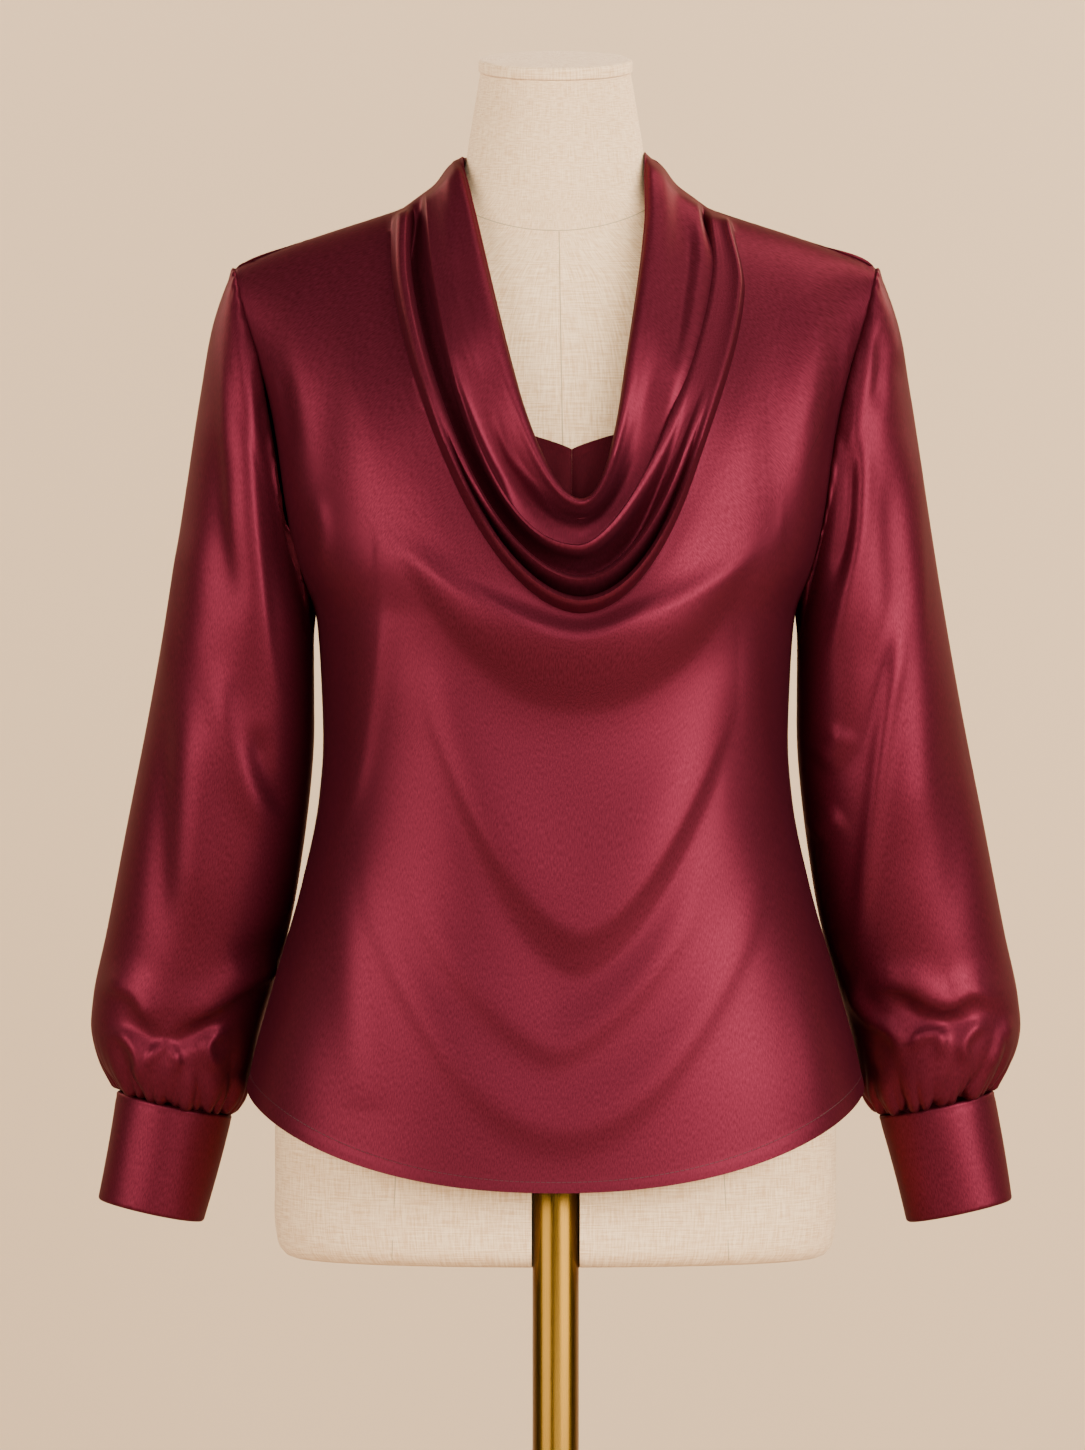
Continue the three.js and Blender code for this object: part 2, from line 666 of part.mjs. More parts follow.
function makeInnerPanel(side) {
  const size = panelSizes;
  const off = size.gap + clothThickness / 2;
  const grid = [];
  for (let r = 0; r <= panelRows; r++) {
    const down = r / panelRows;
    const halfWidth = THREE.MathUtils.lerp(size.halfWidthTop, size.halfWidthBottom, down);
    const row = [];
    for (let c = 0; c <= panelColumns; c++) {
      const out = c / panelColumns;
      const x = size.centreX + side * (seamGap / 2 + out * halfWidth);
      const z = THREE.MathUtils.lerp(size.topZ + size.topRise * out ** size.riseBend, size.bottomZ, down);
      row.push(new THREE.Vector3(x, chest(x, z) - off, z));
    }
    grid.push(row);
  }
  const settle = (point, r, c) => {
    if (c === 0) point.x = size.centreX + (side * seamGap) / 2;
  };
  return wall(grid, clothThickness, { settle });
}
add('inner_panel_left', makeInnerPanel(-1), satinInside);
add('inner_panel_right', makeInnerPanel(1), satinInside);

// Sleeves: each ring runs between a point on the sleeve's outer line and one on its inner line.
// flute and gather are how deep the soft flutes and the small gathers are there
const sleeveRings = [
  { outX: 206, outZ: 1034, inX: 152.5, inZ: 812, middleY: 6, half: 47, flute: 0, gather: 0 },
  { outX: 214.5, outZ: 1010, inX: 152.7, inZ: 796, middleY: 8, half: 52, flute: 0, gather: 0 },
  { outX: 223.5, outZ: 962, inX: 152.6, inZ: 772, middleY: 10, half: 56, flute: 0.6, gather: 0 },
  { outX: 232.5, outZ: 904, inX: 152.8, inZ: 745, middleY: 13, half: 58, flute: 1, gather: 0 },
  { outX: 243, outZ: 838, inX: 155, inZ: 716, middleY: 17, half: 58, flute: 1.2, gather: 0 },
  { outX: 256, outZ: 765, inX: 160, inZ: 676, middleY: 22, half: 58, flute: 1.4, gather: 0 },
  { outX: 271, outZ: 690, inX: 168, inZ: 630, middleY: 30, half: 58, flute: 1.8, gather: 0 },
  { outX: 284.5, outZ: 622, inX: 179.5, inZ: 588, middleY: 39, half: 57, flute: 2.4, gather: 0 },
  { outX: 293.5, outZ: 580, inX: 187.5, inZ: 559, middleY: 44, half: 56, flute: 3, gather: 0.4 },
  { outX: 295, outZ: 556, inX: 192.5, inZ: 535, middleY: 45, half: 54, flute: 3.2, gather: 1 },
  { outX: 288.5, outZ: 536, inX: 197, inZ: 516, middleY: 45, half: 46, flute: 2, gather: 1.7 },
  { outX: 278.6, outZ: 522.4, inX: 205, inZ: 506.2, middleY: 45, half: 35.5, flute: 0, gather: 1.5 },
];
const sleeveColumns = 2 * gatherCount;
const sleeveThickness = 1.5;
const armholeGap = 2;
const flutes = { count: 7, turn: 1, least: 0.2, uneven: 0.4, deepestTurn: 0.7 };

function armholeRing(side) {
  const middle = (shoulderZ + underarmZ) / 2;
  const reach = (shoulderZ - underarmZ) / 2;
  return Array.from({ length: sleeveColumns }, (_, c) => {
    const angle = (2 * Math.PI * c) / sleeveColumns;
    const z = middle + reach * Math.cos(angle);
    const x = armholeX(z);
    const surface = Math.sin(angle) < 0 ? frontSurface : backSurface;
    const y = Math.abs(Math.sin(angle)) < 1e-6 ? sideSeamY : surface(x, z);
    return new THREE.Vector3(side * (x + armholeGap), y, z);
  });
}

function makeSleeve(side) {
  const rings = sleeveRings.map((ring) => {
    const outer = new THREE.Vector3(ring.outX, ring.middleY, ring.outZ);
    const inner = new THREE.Vector3(ring.inX, ring.middleY, ring.inZ);
    const centre = outer.clone().add(inner).multiplyScalar(0.5);
    const across = outer.clone().sub(inner).multiplyScalar(0.5);
    const half = across.length();
    return Array.from({ length: sleeveColumns }, (_, c) => {
      const angle = (2 * Math.PI * c) / sleeveColumns;
      const depth = flutes.least + flutes.uneven * (1 + Math.cos(angle + flutes.deepestTurn));
      const ripple = ring.flute * depth * Math.cos(flutes.count * angle + flutes.turn)
        + ring.gather * (c % 2 ? -1 : 1);
      const point = centre.clone();
      point.addScaledVector(across, Math.cos(angle) * (1 + ripple / half));
      point.y += Math.sin(angle) * (ring.half + ripple);
      point.x *= side;
      return point;
    });
  });
  return wall([armholeRing(side), ...rings], sleeveThickness, { ring: true });
}

// Cuffs: a tube on an axis that leans outwards
const cuffSizes = {
  topX: 242, topZ: 513.2, bottomX: 256.8, bottomZ: 444.9, middleY: 45,
  topHalf: 36.4, bottomHalf: 33.2, topDepth: 34, bottomDepth: 31.5,
};
const cuffColumns = 40;
const cuffRowCount = 1;

function makeCuff(side) {
  const size = cuffSizes;
  const axis = new THREE.Vector3(size.bottomX - size.topX, 0, size.bottomZ - size.topZ).normalize();
  const across = new THREE.Vector3(-axis.z, 0, axis.x);
  const grid = [];
  for (let r = 0; r <= cuffRowCount; r++) {
    const t = r / cuffRowCount;
    const half = THREE.MathUtils.lerp(size.topHalf, size.bottomHalf, t);
    const depth = THREE.MathUtils.lerp(size.topDepth, size.bottomDepth, t);
    const centre = new THREE.Vector3(
      THREE.MathUtils.lerp(size.topX, size.bottomX, t),
      size.middleY,
      THREE.MathUtils.lerp(size.topZ, size.bottomZ, t),
    );
    grid.push(Array.from({ length: cuffColumns }, (_, c) => {
      const angle = (2 * Math.PI * c) / cuffColumns;
      const point = centre.clone().addScaledVector(across, half * Math.cos(angle));
      point.y += depth * Math.sin(angle);
      point.x *= side;
      return point;
    }));
  }
  return wall(grid, cuffThickness, { ring: true });
}

[['left', -1], ['right', 1]].forEach(([name, side]) => {
  add(`sleeve_${name}`, makeSleeve(side), satin);
  add(`cuff_${name}`, makeCuff(side), satin);
});

// Stand
function turned(points, segments) {
  const line = points.map(([radius, z]) => new THREE.Vector2(radius, z));
  return new THREE.LatheGeometry(line, segments).rotateX(Math.PI / 2);
}

function makePole() {
  const bottom = baseThickness + seamGap;
  const bevel = 1.5;
  return turned([
    [0, bottom],
    [poleRadius, bottom],
    [poleRadius, poleTopZ - bevel],
    [poleRadius - bevel, poleTopZ],
    [0, poleTopZ],
  ], 32).translate(0, poleY, 0);
}
add('pole', makePole(), brass);

function makeBase() {
  const bevel = 3;
  return turned([
    [0, 0],
    [baseRadius - bevel, 0],
    [baseRadius, bevel],
    [baseRadius, baseThickness - bevel],
    [baseRadius - bevel, baseThickness],
    [0, baseThickness],
  ], 56);
}
add('base', makeBase(), darkMetal);

export default part;
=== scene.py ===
import math

import bpy
import numpy as np
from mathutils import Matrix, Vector


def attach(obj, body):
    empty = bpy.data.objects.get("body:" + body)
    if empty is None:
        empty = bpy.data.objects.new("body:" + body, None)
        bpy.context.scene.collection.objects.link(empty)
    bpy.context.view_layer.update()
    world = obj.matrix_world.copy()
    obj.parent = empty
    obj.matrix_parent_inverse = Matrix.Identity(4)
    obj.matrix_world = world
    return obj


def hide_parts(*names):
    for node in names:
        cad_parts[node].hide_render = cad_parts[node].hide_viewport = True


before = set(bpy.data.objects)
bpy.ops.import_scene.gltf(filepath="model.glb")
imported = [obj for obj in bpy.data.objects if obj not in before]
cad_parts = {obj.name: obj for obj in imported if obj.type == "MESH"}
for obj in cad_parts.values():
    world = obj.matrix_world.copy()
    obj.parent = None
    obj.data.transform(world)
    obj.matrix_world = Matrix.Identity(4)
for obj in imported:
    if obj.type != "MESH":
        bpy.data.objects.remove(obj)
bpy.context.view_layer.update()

mm = 0.001
foldSharp = math.radians(50)  # the cloth's wall shades smooth up to this angle
edgeSharp = math.radians(40)  # and the form's and the stand's up to this one
print("stage: frame loaded")


# Small helpers

def toLinear(hexColour):
    values = [int(hexColour[i:i + 2], 16) / 255 for i in (1, 3, 5)]
    return (*[v / 12.92 if v <= 0.04045 else ((v + 0.055) / 1.055) ** 2.4 for v in values], 1.0)


def addNode(tree, kind, settings=None, inputs=None):
    # inputs: a socket's name or number to a value, or to another node's output
    node = tree.nodes.new(kind)
    for key, value in (settings or {}).items():
        setattr(node, key, value)
    for key, value in (inputs or {}).items():
        if isinstance(value, bpy.types.NodeSocket):
            tree.links.new(value, node.inputs[key])
        else:
            node.inputs[key].default_value = value
    return node


def between(t, span, start, end, startSlope, endSlope):
    # a cubic from start to end, t from 0 to 1 along a span, with given slopes at its ends
    return ((1 + 2 * t) * (1 - t) ** 2 * start + t * t * (3 - 2 * t) * end
            + t * (1 - t) ** 2 * span * startSlope - t * t * (1 - t) * span * endSlope)


def smoothCurve(pairs):
    # a curve through (place, value) pairs that never overshoots them
    points = np.array(sorted(pairs), dtype=float)
    xs, ys = points[:, 0], points[:, 1]
    spans = np.diff(xs)
    slopes = np.diff(ys) / spans
    tangents = np.empty_like(ys)
    tangents[0], tangents[-1] = slopes[0], slopes[-1]
    for i in range(1, len(xs) - 1):
        product = slopes[i - 1] * slopes[i]
        tangents[i] = 0 if product <= 0 else 2 * product / (slopes[i - 1] + slopes[i])

    def curve(place):
        at = np.clip(place, xs[0], xs[-1])
        i = np.clip(np.searchsorted(xs, at, side="right") - 1, 0, len(xs) - 2)
        t = (at - xs[i]) / spans[i]
        return between(t, spans[i], ys[i], ys[i + 1], tangents[i], tangents[i + 1])
    return curve


def smoothStep(low, high, value):
    t = np.clip((value - low) / (high - low), 0, 1)
    return t * t * (3 - 2 * t)


def hump(distance):
    return np.exp(-np.square(distance))


def skewHump(distance, above, below):
    return hump(distance / np.where(distance > 0, above, below))


def table(columns, rows):
    names = columns.split()
    return [dict(zip(names, row)) for row in rows]


def acrossRows(keyRows, spacing):
    # fills in rows between key rows along smooth curves, about one row for each spacing
    keys = np.array(keyRows)
    steps = np.linalg.norm(np.diff(keys, axis=0), axis=2)
    spans = np.maximum(steps.mean(axis=1), 0.4)
    slopes = np.diff(keys, axis=0) / spans[:, None, None]
    tangents = np.empty_like(keys)
    tangents[0], tangents[-1] = slopes[0], slopes[-1]
    for i in range(1, len(keys) - 1):
        before, after = spans[i - 1], spans[i]
        tangents[i] = (after * slopes[i - 1] + before * slopes[i]) / (before + after)
    rows = []
    places = []
    for i, span in enumerate(spans):
        count = max(int(round(span / spacing)), 1)
        for k in range(count):
            t = k / count
            rows.append(between(t, span, keys[i], keys[i + 1], tangents[i], tangents[i + 1]))
            places.append(i + t)
    rows.append(keys[-1])
    places.append(len(keys) - 1)
    return np.array(rows), np.array(places)


def runLength(points):
    # the distance along a line of points, from its start to each of them
    return np.concatenate([[0], np.cumsum(np.linalg.norm(np.diff(points, axis=0), axis=1))])


def gridNormals(grid, ring=False):
    if ring:
        along = np.roll(grid, -1, axis=1) - np.roll(grid, 1, axis=1)
    else:
        along = np.gradient(grid, axis=1)
    normals = np.cross(along, np.gradient(grid, axis=0))
    return normals / np.maximum(np.linalg.norm(normals, axis=2, keepdims=True), 1e-9)


def newObject(name, mesh, finish=None):
    if finish:
        mesh.materials.append(finish)
    obj = bpy.data.objects.new(name, mesh)
    bpy.context.scene.collection.objects.link(obj)
    return obj


def shell(name, grid, thickness, finish, ring=False, outward=1, inside=None):
    # a wall of cloth: grid is rows x columns x 3 in mm, a closed ring or a flat panel; thickness may
    # vary by row; outward is -1 where the grid's own normals point into the wall
    rows, columns = grid.shape[:2]
    offset = gridNormals(grid, ring) * outward * np.asarray(thickness, dtype=float).reshape(-1, 1, 1) / 2
    points = np.concatenate([(grid + offset).reshape(-1, 3), (grid - offset).reshape(-1, 3)]) * mm
    index = np.arange(rows * columns).reshape(rows, columns)
    nextIndex = np.roll(index, -1, axis=1) if ring else index[:, 1:]
    here = index if ring else index[:, :-1]
    a, b, c, d = here[:-1], nextIndex[:-1], nextIndex[1:], here[1:]
    outer = np.stack([a, b, c, d], axis=-1).reshape(-1, 4)
    count = rows * columns
    faces = [outer, outer[:, ::-1] + count]

    def rim(line, follow, flip):
        quads = np.stack([line, line + count, follow + count, follow], axis=-1).reshape(-1, 4)
        faces.append(quads[:, ::-1] if flip else quads)
    rim(here[0], nextIndex[0], False)
    rim(here[-1], nextIndex[-1], True)
    if not ring:
        rim(index[:-1, 0], index[1:, 0], True)
        rim(index[:-1, -1], index[1:, -1], False)
    quads = np.concatenate(faces)
    if outward < 0:
        quads = quads[:, ::-1]
    mesh = bpy.data.meshes.new(name)
    mesh.from_pydata(points.tolist(), [], quads.tolist())
    across = runLength(grid[rows // 2]) * mm
    down = runLength(grid[:, columns // 4]) * mm
    flat = np.stack(np.meshgrid(across, down), axis=-1).reshape(-1, 2)
    flat = np.concatenate([flat, flat])
    layer = mesh.uv_layers.new(name="cloth")
    corners = np.empty(len(mesh.loops), dtype=np.int32)
    mesh.loops.foreach_get("vertex_index", corners)
    layer.data.foreach_set("uv", flat[corners].ravel())
    mesh.polygons.foreach_set("use_smooth", [True] * len(mesh.polygons))
    mesh.set_sharp_from_angle(angle=foldSharp)
    obj = newObject(name, mesh, finish)
    if inside:
        mesh.materials.append(inside)
        slots = np.zeros(len(mesh.polygons), dtype=np.int32)
        slots[len(outer):2 * len(outer)] = 1
        mesh.polygons.foreach_set("material_index", slots)
    return obj


# Materials

def newMaterial(name):
    finish = bpy.data.materials.new(name)
    finish.use_nodes = True
    tree = finish.node_tree
    tree.nodes.clear()
    shader = addNode(tree, "ShaderNodeBsdfPrincipled")
    addNode(tree, "ShaderNodeOutputMaterial", inputs={"Surface": shader.outputs[0]})
    return finish, tree, shader


def wovenSatin(name, face, deep, roughness, metallic):
    # polyester satin, woven with long floats: a smooth face whose broad glow keeps the dye's colour
    finish, tree, shader = newMaterial(name)
    floatSpacing = 0.7 * mm  # real yarns are about 0.1 mm apart; drawn coarser so that they show
    place = addNode(tree, "ShaderNodeTexCoord")
    spread = addNode(tree, "ShaderNodeMapping", inputs={
        "Vector": place.outputs["UV"], "Scale": (1 / floatSpacing, 0.22 / floatSpacing, 1)})
    yarn = addNode(tree, "ShaderNodeTexNoise", inputs={
        "Vector": spread.outputs[0], "Scale": 1.0, "Detail": 2.0, "Roughness": 0.6})
    cloud = addNode(tree, "ShaderNodeTexNoise", inputs={
        "Vector": place.outputs["UV"], "Scale": 14.0, "Detail": 3.0})
    share = addNode(tree, "ShaderNodeMapRange", inputs={
        "Value": yarn.outputs[0], "From Min": 0.3, "From Max": 0.7})
    tone = addNode(tree, "ShaderNodeMix", {"data_type": "RGBA"}, {
        0: share.outputs[0], 6: toLinear(deep), 7: toLinear(face)})
    rough = addNode(tree, "ShaderNodeMapRange", inputs={
        "Value": cloud.outputs[0], "To Min": roughness - 0.03, "To Max": roughness + 0.04})
    relief = addNode(tree, "ShaderNodeBump", inputs={
        "Strength": 0.12, "Distance": 0.05 * mm, "Height": yarn.outputs[0]})
    tree.links.new(tone.outputs[2], shader.inputs["Base Color"])
    tree.links.new(rough.outputs[0], shader.inputs["Roughness"])
    tree.links.new(relief.outputs[0], shader.inputs["Normal"])
    shader.inputs["Metallic"].default_value = metallic
    shader.inputs["IOR"].default_value = 1.5
    shader.inputs["Specular Tint"].default_value = toLinear("#9C3446")
    return finish


def wovenLinen(name, light, dark):
    # unbleached linen, plain weave, pulled tight: matt, with crossing threads and thicker slubs
    finish, tree, shader = newMaterial(name)
    threadSpacing = 0.9 * mm  # real threads are about 0.4 mm apart; drawn coarser so that they show
    place = addNode(tree, "ShaderNodeTexCoord")
    warp = addNode(tree, "ShaderNodeMapping", inputs={
        "Vector": place.outputs["UV"], "Scale": (1 / threadSpacing, 0.06 / threadSpacing, 1)})
    weft = addNode(tree, "ShaderNodeMapping", inputs={
        "Vector": place.outputs["UV"], "Scale": (0.06 / threadSpacing, 1 / threadSpacing, 1)})
    warpThread = addNode(tree, "ShaderNodeTexNoise", inputs={
        "Vector": warp.outputs[0], "Scale": 1.0, "Detail": 3.0, "Roughness": 0.65})
    weftThread = addNode(tree, "ShaderNodeTexNoise", inputs={
        "Vector": weft.outputs[0], "Scale": 1.0, "Detail": 3.0, "Roughness": 0.65})
    both = addNode(tree, "ShaderNodeMath", {"operation": "ADD"}, {
        0: warpThread.outputs[0], 1: weftThread.outputs[0]})
    share = addNode(tree, "ShaderNodeMapRange", inputs={
        "Value": both.outputs[0], "From Min": 0.8, "From Max": 1.2})
    tone = addNode(tree, "ShaderNodeMix", {"data_type": "RGBA"}, {
        0: share.outputs[0], 6: toLinear(dark), 7: toLinear(light)})
    relief = addNode(tree, "ShaderNodeBump", inputs={
        "Strength": 0.6, "Distance": 0.25 * mm, "Height": both.outputs[0]})
    tree.links.new(tone.outputs[2], shader.inputs["Base Color"])
    tree.links.new(relief.outputs[0], shader.inputs["Normal"])
    shader.inputs["Roughness"].default_value = 0.92
    shader.inputs["Specular IOR Level"].default_value = 0.25
    shader.inputs["Sheen Weight"].default_value = 0.15
    return finish


def drawnBrass(name, colour, roughness, grain):
    # brass, drawn to a tube or turned to a plate and brushed: warm, with soft streaks in its
    # reflections; grain is small along the streaks
    finish, tree, shader = newMaterial(name)
    scratchSpacing = 0.4 * mm
    place = addNode(tree, "ShaderNodeTexCoord")
    spread = addNode(tree, "ShaderNodeMapping", inputs={
        "Vector": place.outputs["Object"], "Scale": [share / scratchSpacing for share in grain]})
    scratch = addNode(tree, "ShaderNodeTexNoise", inputs={
        "Vector": spread.outputs[0], "Scale": 1.0, "Detail": 3.0})
    rough = addNode(tree, "ShaderNodeMapRange", inputs={
        "Value": scratch.outputs[0], "To Min": roughness - 0.06, "To Max": roughness + 0.08})
    relief = addNode(tree, "ShaderNodeBump", inputs={
        "Strength": 0.12, "Distance": 0.03 * mm, "Height": scratch.outputs[0]})
    tree.links.new(rough.outputs[0], shader.inputs["Roughness"])
    tree.links.new(relief.outputs[0], shader.inputs["Normal"])
    shader.inputs["Base Color"].default_value = toLinear(colour)
    shader.inputs["Metallic"].default_value = 1.0
    return finish


def spunThread(name, colour, shade):
    # spun polyester sewing thread: matt, its twist showing as small changes of shade
    finish, tree, shader = newMaterial(name)
    place = addNode(tree, "ShaderNodeTexCoord")
    twist = addNode(tree, "ShaderNodeTexNoise", inputs={
        "Vector": place.outputs["Object"], "Scale": 2500.0, "Detail": 1.0})
    tone = addNode(tree, "ShaderNodeMix", {"data_type": "RGBA"}, {
        0: twist.outputs[0], 6: toLinear(colour), 7: toLinear(shade)})
    tree.links.new(tone.outputs[2], shader.inputs["Base Color"])
    shader.inputs["Roughness"].default_value = 0.55
    return finish


satin = wovenSatin("burgundySatinWoven", "#5E1F2F", "#471520", 0.44, 0.7)
# the cloth's reverse, less glossy than its face; its colour, darker than the dye, is painted shade, for the inner neck
# panel deep in the cowl and the garment's inner faces
satinReverseAndShade = wovenSatin("burgundySatinReverseAndPaintedShade", "#3C1018", "#2E0B12", 0.55, 0.2)
linen = wovenLinen("creamLinenWoven", "#FFE3BA", "#DDB586")
brass = drawnBrass("brassTubeSatinPolished", "#6A4E18", 0.27, (1, 1, 0.012))
brassPlate = drawnBrass("brassPlateBrushed", "#B98E46", 0.34, (1, 0.02, 1))
thread = spunThread("burgundyThreadSpun", "#4A0F1A", "#1E0508")
seamThread = spunThread("creamThreadSpun", "#C8B28F", "#A8926F")
print("stage: materials")


# Body of the blouse: the surface that every panel lies on

bodySize = {
    "sideSeamY": 4, "squareness": 2.4, "frontTurn": 150, "backTurn": 120,
    "shoulderX": 201, "shoulderZ": 1042, "underarmZ": 825, "hemSideZ": 527,
    "hemFrontZ": 470, "hemBackZ": 473, "cowlCentreX": 15, "neckX": 46, "cloth": 0.9, "hemCloth": 1.6,
    "hemDepth": 6.0, "seamPull": 0.9, "seamWidth": 2.4, "foldsFromSeam": 8,
}
bodySections = table("height halfWidth front back", [
    (450, 202, 132, 126),
    (527, 194, 130, 124),
    (590, 178, 128, 116),
    (655, 159.5, 127, 104),
    (710, 148.5, 128, 95),
    (745, 146, 129, 92),
    (790, 147.5, 132, 94),
    (825, 150.5, 134, 98),
    (857, 164, 133, 102),
    (900, 175, 124, 106),
    (950, 184, 109, 107),
    (1000, 201, 90, 105),
    (1044, 216, 74, 100),
    (1080, 220, 66, 92),
    (1125, 220, 62, 86),
])
bodyHalfWidth = smoothCurve([(r["height"], r["halfWidth"]) for r in bodySections])
bodyFront = smoothCurve([(r["height"], r["front"]) for r in bodySections])
bodyBack = smoothCurve([(r["height"], r["back"]) for r in bodySections])
# the shoulder seam's height against the distance from the middle; its inner end climbs the neck
seamHeight = smoothCurve([(0, 1160), (46, 1128), (60.5, 1111), (64, 1109.5), (68, 1104.5),
                          (73, 1098), (78, 1093), (87, 1086.5), (96, 1080), (123, 1070.5),
                          (156, 1060), (183, 1050), (201, 1042), (216, 1034)])
armholeX = smoothCurve([(1042, 201), (1015, 195), (981, 184.5), (950, 177), (920, 172),
                        (887, 167.5), (857, 160.5), (838, 154), (825, 150.5)])


def turnOver(drop, reach):
    left = 1 - np.clip(drop / reach, 0, 1)
    return np.sqrt(np.maximum(1 - left * left, 0))


def roundness(x, z):
    across = np.minimum(np.abs(x) / bodyHalfWidth(z), 1)
    return np.maximum(1 - across ** bodySize["squareness"], 0) ** (1 / bodySize["squareness"])


def frontSurface(x, z):
    drop = seamHeight(np.abs(x)) - z
    return bodySize["sideSeamY"] - bodyFront(z) * turnOver(drop, bodySize["frontTurn"]) * roundness(x, z)


def backSurface(x, z):
    drop = seamHeight(np.maximum(np.abs(x), bodySize["neckX"])) - z
    return bodySize["sideSeamY"] + bodyBack(z) * turnOver(drop, bodySize["backTurn"]) * roundness(x, z)


def panelEdge(startX):
    # down the shoulder seam, the armhole and the side seam: a fraction gives the place (x, z)
    shoulderX, shoulderZ = bodySize["shoulderX"], bodySize["shoulderZ"]
    underarmZ = bodySize["underarmZ"]
    shoulder = [(x, seamHeight(x)) for x in np.linspace(startX, shoulderX, 12, endpoint=False)]
    armhole = [(armholeX(z), z) for z in np.linspace(shoulderZ, underarmZ, 24, endpoint=False)]
    side = [(bodyHalfWidth(z), z) for z in np.linspace(underarmZ, bodySize["hemSideZ"], 24)]
    points = np.array(shoulder + armhole + side, dtype=float)
    lengths = runLength(points)
    lengths /= lengths[-1]
    return lambda f: tuple(float(np.interp(f, lengths, points[:, k])) for k in (0, 1))


def halfRow(row, side, surface, steps):
    # half of a U from its lowest point up to its end on the panel's edge, evenly spaced
    name = "left" if side < 0 else "right"
    turn = np.linspace(0, math.pi / 2, 400)
    across = np.sin(turn) ** (2 / row[name + "Bend"])
    rise = 1 - np.maximum(np.cos(turn), 0) ** (2 / row[name + "Shoulder"])
    endX, endZ = side * row[name + "X"], row[name + "Z"]
    bulge = side * row.get(name + "Bulge", 0) * smoothStep(0.35, 0.8, rise) * smoothStep(1, 0.8, rise)
    x = row["centreX"] + (endX - row["centreX"]) * across + bulge
    z = row["centreZ"] + (endZ - row["centreZ"]) * rise
    fine = np.stack([x, surface(x, z), z], axis=-1)
    lengths = runLength(fine)
    at = np.linspace(0, lengths[-1], steps + 1)
    points = np.stack([np.interp(at, lengths, fine[:, k]) for k in range(3)], axis=-1)
    return points, np.interp(at, lengths, rise)


def liftWay(points):
    # the way a fold stands out: forwards on the body, upwards on top of the shoulder
    drop = seamHeight(np.abs(points[:, 0])) - points[:, 2]
    angle = turnOver(drop, bodySize["frontTurn"]) * math.pi / 2
    return np.stack([np.zeros_like(angle), -np.sin(angle), np.cos(angle)], axis=-1)


def outwardWay(points, side):
    # square to the U in the front view, away from the neck
    along = np.gradient(points, axis=0)
    way = np.stack([along[:, 2] * side, np.zeros(len(points)), -np.abs(along[:, 0])], axis=-1)
    way[:, 0] = np.abs(way[:, 0]) * side
    return way / np.maximum(np.linalg.norm(way, axis=1, keepdims=True), 1e-9)


def wholeRow(row, surface, steps):
    # both halves of a U; a cowl row also stands off the body and goes in behind its neighbour
    halves = []
    for side in (-1, 1):
        points, rise = halfRow(row, side, surface, steps)
        if "lift" in row:
            name = "Left" if side < 0 else "Right"
            low = 1 - smoothStep(0.0, 0.55, rise)
            lift = row["lift"] * low + row["arm" + name] * (1 - low) * (1 - smoothStep(0.95, 1, rise))
            gate = row["open" + name]
            shut = (gate * 0.2, gate * 1.9) if gate < 1 else (0.8, 0.98)
            opened = 1 - smoothStep(*shut, rise)
            points = (points + liftWay(points) * (lift - row["sink"] * opened)[:, None]
                      + outwardWay(points, side) * (row["under"] * opened)[:, None])
        halves.append(points)
    return np.concatenate([halves[0][::-1], halves[1][1:]])


# edgePower and centrePower: how the rows crowd towards the top at their ends and in the middle.
# shoulder, shoulderFall, hemShoulder: how early a row turns up to its ends, at the top, by how much
# less below, and along the hem
rowShape = {"edgePower": 0.88, "centrePower": 1.15, "shoulder": 1.5, "shoulderFall": 0.48, "hemShoulder": 1.4}


def bodyRows(leftStart, rightStart, topZ, hemZ, count, bendAt, centreX):
    # the rows below the neck; one ends on each corner of the armhole
    underarmZ = bodySize["underarmZ"]
    corners = [(bodySize["shoulderX"], bodySize["shoulderZ"]), (float(armholeX(underarmZ)), underarmZ)]
    ends = []
    for edge in (panelEdge(leftStart), panelEdge(rightStart)):
        places = [edge(((k + 1) / count) ** rowShape["edgePower"]) for k in range(count)]
        for corner in corners:
            away = [math.dist(place, corner) for place in places]
            places[away.index(min(away))] = corner
        ends.append(places)
    rows = []
    for k, (left, right) in enumerate(zip(*ends)):
        s = (k + 1) / count
        bend = float(bendAt(s))
        turn = rowShape["shoulder"] - rowShape["shoulderFall"] * min(s * 5, 1)
        if k == count - 1:
            turn = rowShape["hemShoulder"]
        rows.append({
            "leftX": left[0], "leftZ": left[1], "rightX": right[0], "rightZ": right[1],
            "centreX": centreX * (1 - s), "centreZ": topZ + (hemZ - topZ) * s ** rowShape["centrePower"],
            "leftBend": bend, "rightBend": bend, "leftShoulder": turn, "rightShoulder": turn,
        })
    return rows


def hemThickness(grid):
    # one thickness of cloth, and more over the depth of the turned-up hem
    fromHem = runLength(grid[::-1, grid.shape[1] // 2])[1:]
    hemRows = int(np.searchsorted(fromHem, bodySize["hemDepth"])) + 1
    thickness = np.full(len(grid), bodySize["cloth"])
    thickness[-hemRows:] = bodySize["hemCloth"]
    return thickness


# Front, cut in one with the cowl

